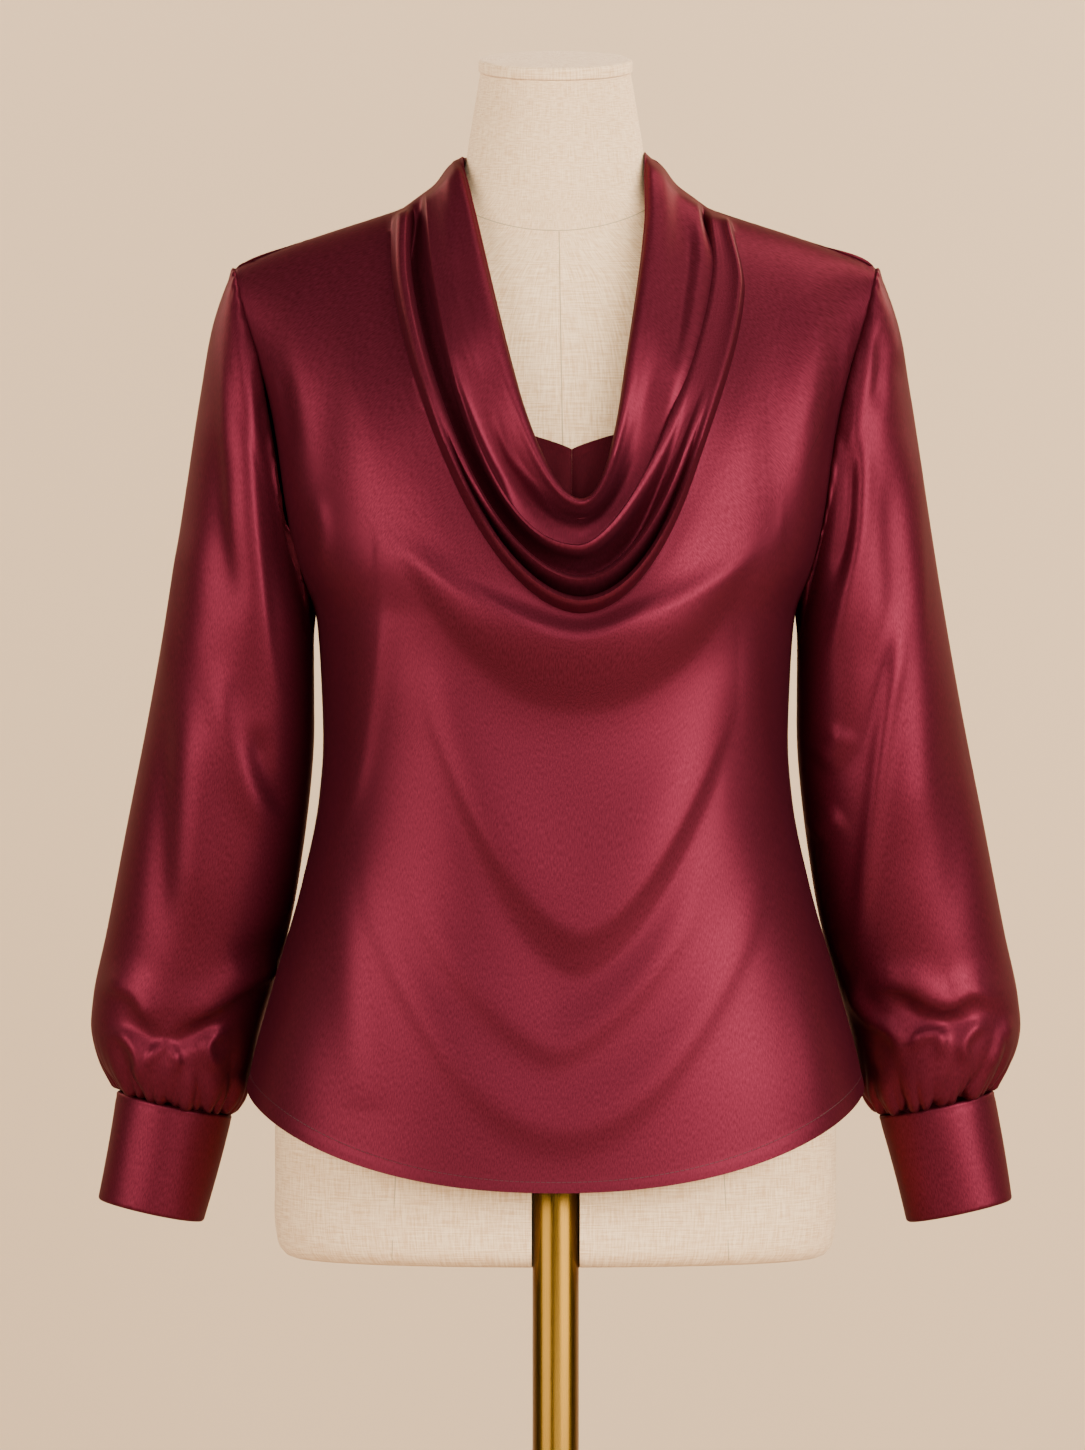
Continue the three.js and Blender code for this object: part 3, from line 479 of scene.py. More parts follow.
# Each row of the table is a line of the cowl, from the turned edge out to the body. leftX and rightX:
# where it meets the shoulder seam. Bulge: how far it bows out on the way there. lift, armLeft and
# armRight: how far it stands off the body in the middle and on the two arms. sink, under: how far the
# cloth goes in behind the next fold, up to the part of the arm that openLeft and openRight give
cowlRows = table("leftX rightX centreZ leftBend rightBend leftShoulder rightShoulder leftBulge rightBulge "
                 "lift armLeft armRight sink under openLeft openRight", [
    (59.0, 56.0, 886.0, 1.75, 2.25, 0.85, 1.05, 0.0, 3.0, -18.0, -3.0, -3.0, 0, 0, 1, 1),
    (60.3, 57.2, 895.0, 1.80, 2.30, 0.87, 1.05, 0.0, 3.0, -14.5, -1.0, -1.0, 0, 0, 1, 1),
    (61.5, 58.2, 898.6, 1.80, 2.35, 0.90, 1.05, 0.0, 3.0, -9.5, 2.0, 2.0, 0, 0, 1, 1),
    (63.5, 60.5, 897.0, 1.84, 2.32, 0.93, 1.10, 0.0, 3.0, -5.5, 4.0, 4.0, 0, 0, 1, 1),
    (67.5, 67.0, 891.8, 1.94, 2.17, 1.03, 1.24, 0.0, 3.0, -10.5, 4.5, 4.5, 0, 0, 1, 1),
    (72.5, 76.5, 886.2, 2.06, 1.92, 1.18, 1.44, 0.0, 3.0, -18.5, 4.8, 3.6, 0, 0, 1, 1),
    (76.0, 85.5, 880.5, 2.14, 1.72, 1.33, 1.61, 0.0, 3.0, -23.5, 4.8, 5.0, 0, 0, 1, 1),
    (78.4, 89.8, 875.6, 2.17, 1.62, 1.41, 1.70, 0.0, 3.0, -24.5, 4.8, 5.0, 0, 3, 0.1, 1),
    (79.6, 91.4, 873.0, 2.19, 1.58, 1.46, 1.74, 0.0, 3.0, -21.0, 4.8, -1.0, 0, 8, 0.1, 1),
    (80.6, 92.8, 871.8, 2.20, 1.56, 1.49, 1.77, 0.0, 3.0, -10.0, 4.8, -4.0, 0, 2, 0.1, 1),
    (81.4, 94.4, 869.8, 2.18, 1.56, 1.50, 1.80, 0.2, 3.5, -2.0, 4.6, 0.0, 0, 0, 1, 1),
    (82.6, 96.4, 865.6, 2.10, 1.62, 1.55, 1.81, 0.6, 5.0, -5.5, 1.5, 3.5, 0, 0, 1, 1),
    (84.4, 98.6, 860.2, 2.02, 1.70, 1.62, 1.82, 1.2, 6.5, -15.5, -5.0, 4.5, 0, 0, 1, 1),
    (86.8, 100.2, 854.8, 1.94, 1.78, 1.70, 1.83, 2.0, 8.0, -18.5, -7.0, 4.8, 3, 5, 1, 0.14),
    (88.8, 101.4, 852.2, 1.86, 1.84, 1.78, 1.84, 2.6, 8.6, -14.0, -5.0, 5.1, 2, 4, 1, 0.14),
    (90.0, 102.3, 851.0, 1.82, 1.88, 1.82, 1.85, 3.0, 9.0, -4.0, 0.0, 5.4, 0, 0, 1, 1),
    (91.6, 103.3, 849.0, 1.80, 1.92, 1.80, 1.86, 3.0, 9.4, 5.0, 4.2, 5.8, 0, 0, 1, 1),
    (93.2, 104.2, 845.2, 1.80, 1.95, 1.76, 1.87, 3.0, 9.7, 1.0, 6.6, 6.3, 0, 0, 1, 1),
    (95.0, 105.0, 841.6, 1.80, 1.97, 1.71, 1.88, 3.0, 9.9, -9.0, 7.6, 6.8, 2, 4, 0.12, 0.14),
    (96.4, 105.8, 839.5, 1.80, 1.98, 1.68, 1.88, 3.0, 10.0, -7.5, 8.0, 7.2, 1, 3, 0.12, 0.14),
    (97.6, 106.5, 838.4, 1.80, 2.00, 1.65, 1.90, 3.0, 10.0, 3.0, 7.8, 7.3, 0, 0, 1, 1),
    (99.2, 107.6, 836.2, 1.80, 2.00, 1.62, 1.90, 3.0, 10.0, 10.5, 6.8, 6.8, 0, 0, 1, 1),
    (100.8, 109.0, 833.0, 1.80, 2.00, 1.62, 1.88, 3.0, 10.0, 7.0, 3.4, 3.4, 0, 0, 1, 1),
    (103.2, 111.2, 828.6, 1.80, 1.98, 1.62, 1.84, 2.5, 9.0, -1.5, -0.5, -0.5, 0, 0, 1, 1),
])

# Soft swells that hang between the bust points, each along a line lowZ + climb * distance ** power,
# over a reach to both sides; above and below: how broad it is on its two sides
frontSwells = table("lowX lowZ climb power reach above below depth", [
    (15, 818, 0.0115, 1.75, 128, 13, 30, 7.6),
    (15, 764, 0.0029, 2.2, 125, 20, 58, -6.0),
    (15, 634, 0.060, 1.7, 98, 58, 15, 5.0),
    (15, 601, 0.062, 1.7, 90, 9, 26, -1.6),
    (0, 561, 0.100, 1.5, 92, 22, 13, 2.6),
    (5, 511, 0.0088, 2.0, 128, 26, 15, 3.0),
])
# Soft upright folds, each a straight line from its top to its foot
frontUprights = table("topX footX topZ footZ width depth", [
    (-136, -139, 845, 690, 8, -1.6),
    (139, 143, 830, 680, 7, -1.4),
    (-134, -118, 670, 520, 15, 2.6),
    (152, 170, 640, 500, 13, 1.8),
    (-128, -116, 1062, 880, 14, 1.8),
    (-150, -142, 1050, 880, 11, -1.2),
    (138, 132, 1058, 880, 12, -1.6),
    (164, 158, 1050, 850, 14, 4.4),
    (-164, -158, 1040, 850, 12, 2.6),
])
# Creases and hollows of the cowl's arms and by the armholes, through (x, z) points. width and inside:
# how broad each is to the left and to the right of its way
frontCreases = [
    {"line": [(-64.6, 1040), (-56.4, 1003), (-45, 968)], "width": 3, "depth": 1.0},
    {"line": [(-39.4, 960), (-29, 927.4), (-8.1, 900.2), (2.2, 884)], "width": 2.6, "depth": 1.2},
    {"line": [(80, 1084), (83, 1057), (79, 1020), (72, 975)], "width": 5, "depth": -3},
    {"line": [(186, 1016), (182, 985), (178, 930)], "width": 4, "depth": 1.4},
    {"line": [(-172, 985), (-168, 960), (-163, 925)], "width": 5, "depth": -1.6},
    {"line": [(-150, 905), (-146, 880), (-147, 850)], "width": 6, "depth": 2.0},
    {"line": [(-106, 850), (-115, 772), (-127, 714), (-142, 676)], "width": 6, "inside": 16, "depth": 2.6},
    {"line": [(121, 830), (131, 740), (142, 700), (150, 672)], "width": 6, "inside": 14, "depth": 2.2},
]


def foldRelief(x, z, swags, uprights):
    total = np.zeros_like(x)
    for swag in swags:
        away = np.abs(x - swag["lowX"])
        line = swag["lowZ"] + swag["climb"] * away ** swag["power"]
        fade = np.clip(1 - (away / swag["reach"]) ** 3, 0, 1)
        total += swag["depth"] * fade * skewHump(z - line, swag["above"], swag["below"])
    for fold in uprights:
        down = (fold["topZ"] - z) / (fold["topZ"] - fold["footZ"])
        line = fold["topX"] + (fold["footX"] - fold["topX"]) * down
        fade = np.clip(4 * down * (1 - down), 0, 1) ** 0.8
        total += fold["depth"] * fade * hump((x - line) / fold["width"])
    return total


def smoothThrough(at, values, s):
    i = int(np.clip(np.searchsorted(at, s) - 1, 0, len(at) - 2))
    slopes = np.gradient(values, at)
    span = at[i + 1] - at[i]
    return between((s - at[i]) / span, span, values[i], values[i + 1], slopes[i], slopes[i + 1])


def lineRelief(x, z, folds):
    total = np.zeros_like(x)
    for fold in folds:
        points = np.array(fold["line"], dtype=float)
        at = runLength(points)
        share = np.linspace(0, at[-1], 25)
        lineX, lineZ = (np.array([smoothThrough(at, points[:, k], s) for s in share]) for k in (0, 1))
        reach = 3 * max(fold["width"], fold.get("inside", 0))
        near = ((x > lineX.min() - reach) & (x < lineX.max() + reach)
                & (z > lineZ.min() - reach) & (z < lineZ.max() + reach))
        if not near.any():
            continue
        px, pz = x[near][:, None], z[near][:, None]
        stepX, stepZ = np.diff(lineX), np.diff(lineZ)
        t = np.clip(((px - lineX[:-1]) * stepX + (pz - lineZ[:-1]) * stepZ) / (stepX ** 2 + stepZ ** 2), 0, 1)
        away2 = (px - lineX[:-1] - t * stepX) ** 2 + (pz - lineZ[:-1] - t * stepZ) ** 2
        nearest = away2.argmin(axis=1)
        along = (nearest + t[np.arange(len(t)), nearest]) / len(stepX)
        fade = smoothStep(0, 1, np.clip(3.2 * along, 0, 1) * np.clip(3.2 * (1 - along), 0, 1))
        offX, offZ = px[:, 0] - lineX[nearest], pz[:, 0] - lineZ[nearest]
        cross = offX * stepZ[nearest] - offZ * stepX[nearest]
        width = np.where(cross < 0, fold["width"], fold.get("inside", fold["width"]))
        total[near] += fold["depth"] * fade * np.exp(-away2[np.arange(len(t)), nearest] / width ** 2)
    return total


def seamedRelief(grid, swags, uprights):
    # folds that fade out towards the seams at the panel's sides, where the stitches pull it in
    steps = np.linalg.norm(np.diff(grid, axis=1), axis=2)
    fromLeft = np.concatenate([np.zeros((len(grid), 1)), np.cumsum(steps, axis=1)], axis=1)
    fromSeam = np.minimum(fromLeft, fromLeft[:, -1:] - fromLeft)
    relief = foldRelief(grid[:, :, 0], grid[:, :, 2], swags, uprights)
    relief *= smoothStep(0, bodySize["foldsFromSeam"], fromSeam)
    return relief, bodySize["seamPull"] * hump(fromSeam / bodySize["seamWidth"])


frontSize = {"leftStart": 106, "rightStart": 114, "topZ": 826, "rows": 20, "halfColumns": 88,
             "cowlSpacing": 1.7, "bodySpacing": 2.9}


def makeFront():
    size, centreX = frontSize, bodySize["cowlCentreX"]
    upper = []
    for row in cowlRows:
        leftZ, rightZ = float(seamHeight(row["leftX"])), float(seamHeight(row["rightX"]))
        upper.append({**row, "leftZ": leftZ, "rightZ": rightZ, "centreX": centreX})
    bend = smoothCurve([(0, 1.85), (0.25, 1.8), (0.5, 1.8), (1, 2.2)])
    lower = bodyRows(size["leftStart"], size["rightStart"], size["topZ"], bodySize["hemFrontZ"],
                     size["rows"], bend, centreX)
    keys = [wholeRow(row, frontSurface, size["halfColumns"]) for row in upper + lower]
    cowl = acrossRows(keys[:len(upper)], size["cowlSpacing"])[0]
    body, places = acrossRows(keys[len(upper) - 1:], size["bodySpacing"])
    weight = smoothStep(0, 1.2, places)[:, None]
    body[:, :, 1] += (frontSurface(body[:, :, 0], body[:, :, 2]) - body[:, :, 1]) * weight
    relief, pull = seamedRelief(body, frontSwells, frontUprights)
    body[:, :, 1] -= relief * weight - pull
    grid = np.concatenate([cowl, body[1:]])
    grid[:, :, 1] -= lineRelief(grid[:, :, 0], grid[:, :, 2], frontCreases)
    return grid


frontGrid = makeFront()
frontThickness = hemThickness(frontGrid)
front = shell("frontPanel", frontGrid, frontThickness, satin, outward=-1, inside=satinReverseAndShade)
print("stage: front", frontGrid.shape)


# Back

backSwags = table("lowX lowZ climb power reach above below depth", [
    (0, 1008, 0.0022, 2.0, 120, 20, 22, -2.0),
    (-6, 742, 0.0040, 2.0, 110, 14, 10, 3.0),
    (4, 712, 0.0050, 2.0, 105, 10, 12, -3.0),
    (0, 668, 0.0060, 2.0, 100, 16, 14, 2.5),
    (2, 566, 0.0050, 2.0, 120, 16, 14, -2.5),
])
backUprights = table("topX footX topZ footZ width depth", [
    (-60, -84, 980, 520, 15, 4.0),
    (-30, -40, 760, 470, 12, -3.0),
    (14, 22, 780, 480, 13, 3.5),
    (52, 80, 960, 500, 15, 4.0),
    (88, 112, 900, 560, 10, -2.5),
    (-96, -118, 900, 560, 11, -2.5),
    (-118, -150, 800, 500, 13, 4.0),
    (122, 152, 820, 500, 13, 4.0),
    (-120, -100, 1050, 860, 11, 2.5),
    (122, 104, 1046, 880, 11, 2.5),
])
backSize = {"collarFootX": 96, "collarFootDrop": 9, "rows": 17, "halfColumns": 64, "spacing": 3.6}


def makeBack():
    footX = backSize["collarFootX"]
    neckZ = float(seamHeight(footX))
    neck = {"leftX": footX, "rightX": footX, "leftZ": neckZ, "rightZ": neckZ,
            "centreX": 0, "centreZ": neckZ - backSize["collarFootDrop"],
            "leftBend": 2, "rightBend": 2, "leftShoulder": 2, "rightShoulder": 2}
    bend = smoothCurve([(0, 2), (1, 2.2)])
    lower = bodyRows(footX, footX, neck["centreZ"], bodySize["hemBackZ"], backSize["rows"], bend, 0)
    keys = [wholeRow(row, backSurface, backSize["halfColumns"]) for row in [neck] + lower]
    grid, places = acrossRows(keys, backSize["spacing"])
    grid[:, :, 1] = backSurface(grid[:, :, 0], grid[:, :, 2])
    relief, pull = seamedRelief(grid, backSwags, backUprights)
    grid[:, :, 1] += relief * smoothStep(0, 2.5, places)[:, None] - pull
    return grid


backGrid = makeBack()
backThickness = hemThickness(backGrid)
back = shell("backPanel", backGrid, backThickness, satin, inside=satinReverseAndShade)

# Back collar: a soft stand whose top edge is a fold. x: a row's place on the shoulder seam; back, rise:
# how far it goes behind the seam and above it; the first row is the inside, turned down
collarRows = table("x back rise", [
    (58.6, 58.4, -9), (59.2, 59.2, 0), (60.5, 60.0, 3), (62.5, 61.3, 2.6),
    (66, 63.5, 2), (76, 69, 0), (86, 75, -3),
])


collarSize = {"columns": 121, "spacing": 1.6, "insideDrop": 6, "footGap": 0.6, "wave": 0.7}


def makeCollar():
    angle = np.linspace(0, math.pi, collarSize["columns"])
    keys = []
    for row in collarRows:
        z = seamHeight(row["x"]) + row["rise"] * np.sin(angle)
        if row is collarRows[0]:
            z = z - collarSize["insideDrop"]
        y = bodySize["sideSeamY"] + row["back"] * np.sin(angle)
        keys.append(np.stack([-row["x"] * np.cos(angle), y, z], axis=-1))
    footX = backSize["collarFootX"] - collarSize["footGap"]
    neckZ = float(seamHeight(backSize["collarFootX"])) - backSize["collarFootDrop"]
    x = -footX * np.cos(angle)
    z = seamHeight(footX) + (neckZ + collarSize["footGap"] - seamHeight(footX)) * np.sin(angle)
    keys.append(np.stack([x, backSurface(x, z), z], axis=-1))
    grid, places = acrossRows(keys, collarSize["spacing"])
    wave = collarSize["wave"] * np.sin(5 * angle + 0.6) * np.sin(angle)
    grid[:, :, 2] += wave * smoothStep(2, 4, places)[:, None]
    return grid


collar = shell("backCollar", makeCollar(), bodySize["cloth"], satin, inside=satinReverseAndShade)
print("stage: back and collar")

# Dress form: squareness 2 gives an ellipse

formSize = {
    "bottomZ": 420, "neckTopZ": 1165.5, "neckTopY": -2, "tilt": math.radians(8.5), "capRadius": 48.4,
    "capThickness": 8, "neckRadius": 47.2, "poleRadius": 14.5, "poleY": -84, "poleTopZ": 500,
    "channelGap": 0.5, "baseRadius": 190, "baseThickness": 14,
}
formSections = table("height halfWidth front back squareness", [
    (420.0, 166, 88, 106, 2.3),
    (421.5, 170, 92, 110, 2.3),
    (426.0, 174, 97, 114, 2.3),
    (434, 176, 99, 116, 2.3),
    (470, 177, 101, 118, 2.3),
    (520, 176, 102, 117, 2.3),
    (580, 167, 100, 106, 2.3),
    (650, 146, 93, 88, 2.3),
    (700, 129, 88, 76, 2.25),
    (745, 123, 89, 72, 2.2),
    (790, 129, 99, 75, 2.25),
    (835, 139, 108, 80, 2.3),
    (870, 148, 103, 85, 2.3),
    (910, 157, 91, 88, 2.3),
    (950, 165, 80, 88, 2.25),
    (990, 173, 70, 83, 2.1),
    (1020, 178, 59, 76, 1.8),
    (1037.5, 176, 52, 70, 1.6),
    (1048.5, 168, 49, 67, 1.4),
    (1058.3, 150, 46, 64, 1.28),
    (1069.4, 123, 45, 61, 1.22),
    (1074.9, 108, 45.3, 58.5, 1.3),
    (1078.9, 93, 45.8, 56.5, 1.42),
    (1083, 77, 46.2, 55, 1.62),
    (1087, 67, 46.5, 54, 1.8),
    (1093, 61, 46.8, 52.5, 1.95),
    (1102, 58, 47.1, 51, 2.0),
    (1125, 54, 48, 48, 2.0),
])


def loft(name, rings, finish):
    rows, columns = rings.shape[:2]
    index = np.arange(rows * columns).reshape(rows, columns)
    follow = np.roll(index, -1, axis=1)
    quads = np.stack([index[:-1], follow[:-1], follow[1:], index[1:]], axis=-1).reshape(-1, 4).tolist()
    quads += [index[0, ::-1].tolist(), index[-1].tolist()]
    mesh = bpy.data.meshes.new(name)
    mesh.from_pydata((rings.reshape(-1, 3) * mm).tolist(), [], quads)
    mesh.polygons.foreach_set("use_smooth", [True] * len(mesh.polygons))
    steps = np.linalg.norm(np.diff(rings[rows // 2], axis=0, append=rings[rows // 2][:1]), axis=1)
    across = np.concatenate([[0], np.cumsum(steps)]) * mm
    down = np.concatenate([[0], np.cumsum(np.linalg.norm(np.diff(rings[:, 0], axis=0), axis=1))]) * mm
    layer = mesh.uv_layers.new(name="cloth")
    corners = np.empty(len(mesh.loops), dtype=np.int32)
    mesh.loops.foreach_get("vertex_index", corners)
    places = np.stack([across[corners % columns], down[corners // columns]], axis=-1)
    seam = (rows - 1) * columns
    quadCorners = corners[:seam * 4].reshape(-1, 4)
    wraps = (quadCorners % columns == 0) & (np.max(quadCorners % columns, axis=1, keepdims=True) == columns - 1)
    shift = np.zeros(len(corners))
    shift[:seam * 4] = np.where(wraps, across[-1], 0).ravel()
    places[:, 0] += shift
    layer.data.foreach_set("uv", places.ravel())
    mesh.set_sharp_from_angle(angle=edgeSharp)
    return newObject(name, mesh, finish)


def formRing(row, columns=144):
    angle = np.arange(columns) * 2 * math.pi / columns

    def curve(value):
        return np.sign(value) * np.abs(value) ** (2 / row["squareness"])
    depth = np.where(np.sin(angle) < 0, row["front"], row["back"])
    return np.stack([row["halfWidth"] * curve(np.cos(angle)),
                     bodySize["sideSeamY"] + depth * curve(np.sin(angle)),
                     np.full(columns, float(row["height"]))], axis=-1)


def tiltedRing(radius, lift, columns=144):
    # a circle square to the neck's tilted top, lift above it
    angle = np.arange(columns) * 2 * math.pi / columns
    tilt = formSize["tilt"]
    return np.stack([radius * np.cos(angle),
                     formSize["neckTopY"] + radius * np.sin(angle) * math.cos(tilt) - lift * math.sin(tilt),
                     formSize["neckTopZ"] + radius * np.sin(angle) * math.sin(tilt) + lift * math.cos(tilt)], axis=-1)


def cutWith(obj, cutter):
    change = obj.modifiers.new("cut", "BOOLEAN")
    change.operation = "DIFFERENCE"
    change.solver = "EXACT"
    change.object = cutter
    whole = bpy.data.meshes.new_from_object(obj.evaluated_get(bpy.context.evaluated_depsgraph_get()))
    obj.modifiers.clear()
    obj.data = whole
    bpy.data.objects.remove(cutter)


def channelCutter():
    radius = formSize["poleRadius"] + formSize["channelGap"]
    turn = np.linspace(0, math.pi, 33)
    outline = [(radius, -60)] + [(radius * math.cos(a), radius * math.sin(a)) for a in turn] + [(-radius, -60)]
    rings = np.array([[(x, formSize["poleY"] + y, z) for x, y in outline]
                      for z in (formSize["bottomZ"] - 10, formSize["poleTopZ"] + formSize["channelGap"])], dtype=float)
    return loft("channelCutter", rings, linen)


formRings = [formRing(row) for row in formSections]
formGrid, formPlaces = acrossRows(formRings, 4.5)
neckGrid, neckPlaces = acrossRows(formRings[-2:] + [tiltedRing(formSize["neckRadius"], 0)], 4.5)
neckStart = int(np.searchsorted(neckPlaces, 1.0))
form = loft("torsoForm", np.concatenate([formGrid, neckGrid[neckStart + 1:]]), linen)
cutWith(form, channelCutter())
form.data.set_sharp_from_angle(angle=edgeSharp)

capProfile = [(0.01, 0.3), (47.6, 0.3), (48.4, 1.1), (48.4, 6.2), (48.2, 7.0), (47.6, 7.7), (46.6, 8.15),
              (45.4, 8.3), (0.01, 8.3)]
neckCap = loft("neckCap", np.array([tiltedRing(r, lift) for r, lift in capProfile]), linen)

# Stand

def turnedDisc(name, profile, finish, centreY, columns=128):
    angle = np.arange(columns) * 2 * math.pi / columns
    rings = np.array([np.stack([r * np.cos(angle), centreY + r * np.sin(angle), np.full(columns, float(z))], axis=-1)
                      for r, z in profile])
    return loft(name, rings, finish)


poleFootZ = formSize["baseThickness"] + 0.3
pole = turnedDisc("standPole", [(0.01, poleFootZ), (14.5, poleFootZ), (14.5, 498.5), (14.1, 499.5), (13.0, 500.0),
                                (0.01, 500.0)], brass, formSize["poleY"], 96)
base = turnedDisc("standBase", [(0.01, 0), (187, 0), (189, 0.8), (190, 3), (190, 11), (189, 13.2), (187, 14),
                                (0.01, 14)], brassPlate, 0, 160)
print("stage: form and stand")

# Inner neck panel: two halves that meet in a centre seam on the form's chest

innerPanel = {"centreX": 10, "topZ": 929, "topRise": 16, "riseBend": 0.8, "bottomZ": 862,
              "halfWidthTop": 52, "halfWidthBottom": 40, "clear": 1.0}
formFrontAt = smoothCurve([(r["height"], r["front"]) for r in formSections])
formHalfAt = smoothCurve([(r["height"], r["halfWidth"]) for r in formSections])
formSquareAt = smoothCurve([(r["height"], r["squareness"]) for r in formSections])


def chest(x, z):
    square = formSquareAt(z)
    across = np.minimum(np.abs(x) / formHalfAt(z), 1)
    return bodySize["sideSeamY"] - formFrontAt(z) * (1 - across ** square) ** (1 / square)


def makeInnerPanel(side):
    out, down = np.meshgrid(np.linspace(0, 1, 40), np.linspace(0, 1, 44))
    halfWidth = innerPanel["halfWidthTop"] + (innerPanel["halfWidthBottom"] - innerPanel["halfWidthTop"]) * down
    x = innerPanel["centreX"] + side * (0.15 + out * halfWidth)
    top = innerPanel["topZ"] + innerPanel["topRise"] * out ** innerPanel["riseBend"]
    z = top + (innerPanel["bottomZ"] - top) * down
    fromSeam, fromTop = out * halfWidth, top - z
    y = chest(x, z) - innerPanel["clear"] + 0.5 * hump(fromSeam / 1.6)
    y -= 0.5 * smoothStep(4.2, 3.2, fromTop) + 0.9 * hump((fromSeam - 6) / 5) * smoothStep(0, 25, fromTop)
    grid = np.stack([x, y, z], axis=-1)
    return grid if side > 0 else grid[:, ::-1]


# the panel is drawn in the darker reverse satin: painted shade, for where it lies in the cowl's shadow
innerLeft = shell("innerPanelLeft", makeInnerPanel(-1), 0.9, satinReverseAndShade, outward=-1)
innerRight = shell("innerPanelRight", makeInnerPanel(1), 0.9, satinReverseAndShade, outward=-1)

# Sleeves: each ring runs between a point on the sleeve's outer line and one on its inner line

sleeveRings = table("outX outZ inX inZ middleY half", [
    (206, 1034, 152.5, 812, 6, 47),
    (214.5, 1010, 152.7, 796, 8, 52),
    (223.5, 962, 152.6, 772, 10, 56),
    (232.5, 904, 152.8, 745, 13, 58),
    (243, 838, 155, 716, 17, 58),
    (256, 765, 160, 676, 22, 58),
    (271, 690, 168, 630, 30, 58),
    (284.5, 622, 179.5, 588, 39, 57),
    (293.5, 580, 187.5, 559, 44, 56),
    (295, 556, 192.5, 535, 45, 55),
    (288.5, 536, 197, 516, 45, 50),
    (280.5, 525.0, 203.5, 508.0, 45, 43.5),
    (277.6, 520.4, 206.0, 505.0, 45, 34.6),
])
# Folds in the front view, each a line through (distance from the middle, height) points.
# outside, inside: its width on the side away from and towards the body
leftFolds = [
    {"line": [(205, 1022), (204.6, 976), (203, 931), (201.3, 894), (196.6, 839)], "width": 6, "inside": 14.9, "depth": 2.2},
    {"line": [(192, 1010), (191, 913), (186.5, 857), (179, 793), (172, 762)], "width": 16.8, "inside": 5.8, "depth": 3.2},
    {"line": [(190, 1003), (179, 950), (172, 894), (164, 815)], "width": 9.6, "depth": -3.2},
    {"line": [(212, 945), (209, 876), (203, 815)], "width": 10.8, "depth": -2.2},
    {"line": [(228, 890), (227, 830), (226, 780)], "width": 14.4, "depth": 1.4},
    {"line": [(238, 885), (242, 830), (246, 780)], "width": 4.8, "depth": 1},
    {"line": [(246, 800), (247, 690), (247.5, 604)], "width": 9.6, "depth": -2.5},
    {"line": [(229, 780), (228, 700), (227, 616)], "width": 14.4, "depth": 2.5},
    {"line": [(212, 800), (203.8, 748), (186.8, 705), (165, 677)], "width": 9.6, "depth": 2.5},
    {"line": [(190, 760), (181, 725), (163, 692)], "width": 8.4, "depth": -2.9},
    {"line": [(160, 628), (183, 612), (206, 602)], "width": 10, "depth": -2.6},
    {"line": [(166, 603), (196.4, 592), (215.7, 579.5), (232.6, 571.3), (246, 565.5)], "width": 14, "inside": 5.2, "depth": 4.6},
    {"line": [(290, 592), (266, 586), (255.5, 573), (247, 564)], "width": 5, "inside": 12, "depth": 3.8},
    {"line": [(278, 577), (260, 561), (247, 554.5), (228, 560), (200, 572)], "width": 7, "inside": 7, "depth": -3.4},
    {"line": [(287, 556), (273.6, 558.8), (264, 548), (262.8, 536.3), (266.4, 523)], "width": 4.1, "depth": 3.2},
    {"line": [(255.5, 534), (253.1, 548.3), (245.9, 553.2), (239.8, 547.1), (242.2, 530)], "width": 3.8, "depth": 2.9},
    {"line": [(206, 541), (215.8, 542.3), (219.4, 553.2), (214.5, 559.2), (203, 563)], "width": 4.1, "depth": 3.2},
]
rightFolds = [
    {"line": [(202, 1010), (203, 978), (200, 948)], "width": 5.4, "depth": -1.7},
    {"line": [(189, 968), (191, 913), (187, 861), (178, 820), (165, 780)], "width": 6, "depth": 2.5},
    {"line": [(184.5, 940), (183.6, 885), (171, 835)], "width": 6, "depth": -3.2},
    {"line": [(209, 935), (211, 876), (213, 830), (207, 780)], "width": 9.6, "depth": -2.5},
    {"line": [(225, 950), (226, 894), (228, 839), (227, 795)], "width": 6, "inside": 14.9, "depth": 1.9},
    {"line": [(204, 1030), (211, 1007), (219, 975)], "width": 6, "depth": 1.4},
    {"line": [(217, 850), (213.8, 808.7), (206.5, 760.5), (199.3, 700.2), (193.3, 640), (190.4, 599)],
     "width": 6, "depth": 3.6},
    {"line": [(190.4, 603), (191.6, 579.7), (201.7, 567.6), (213.8, 560.4), (216.7, 553.2), (212.6, 540)],
     "width": 5.4, "depth": 4.3},
    {"line": [(205, 830), (194.4, 760.5), (168, 703)], "width": 12, "depth": -2.6},
    {"line": [(182, 756), (172.7, 738.8), (163, 730)], "width": 8.4, "depth": 2.5},
    {"line": [(182, 700), (166.7, 689.6), (160, 684)], "width": 8.4, "depth": 2.5},
    {"line": [(225.8, 840), (225.8, 736.4), (221, 664)], "width": 15.6, "depth": 2.9},
    {"line": [(250, 780), (252, 690), (251, 615)], "width": 13.2, "depth": -1.8},
    {"line": [(190, 583), (209, 592), (223.4, 590.5), (237.8, 582), (248, 580), (260, 586),
              (273, 583), (290, 568)], "width": 12, "inside": 5, "depth": 4.2},
    {"line": [(203, 583), (217, 579), (231, 570), (248, 568), (266, 575)], "width": 6.5, "depth": -3.6},
    {"line": [(221, 548), (230.7, 559.2), (240.3, 561), (242.7, 543.5)], "width": 4.1, "depth": 3.2},
    {"line": [(259.6, 538), (257.2, 555.6), (264.4, 564), (275, 564)], "width": 4.1, "depth": 3.2},
    {"line": [(288, 572), (281.2, 550.7), (273, 534)], "width": 4.8, "depth": 2.5},
]
sleeveSize = {"columns": 288, "spacing": 2.7, "cloth": 0.9, "armholeGap": 1.0, "outward": 3.2}
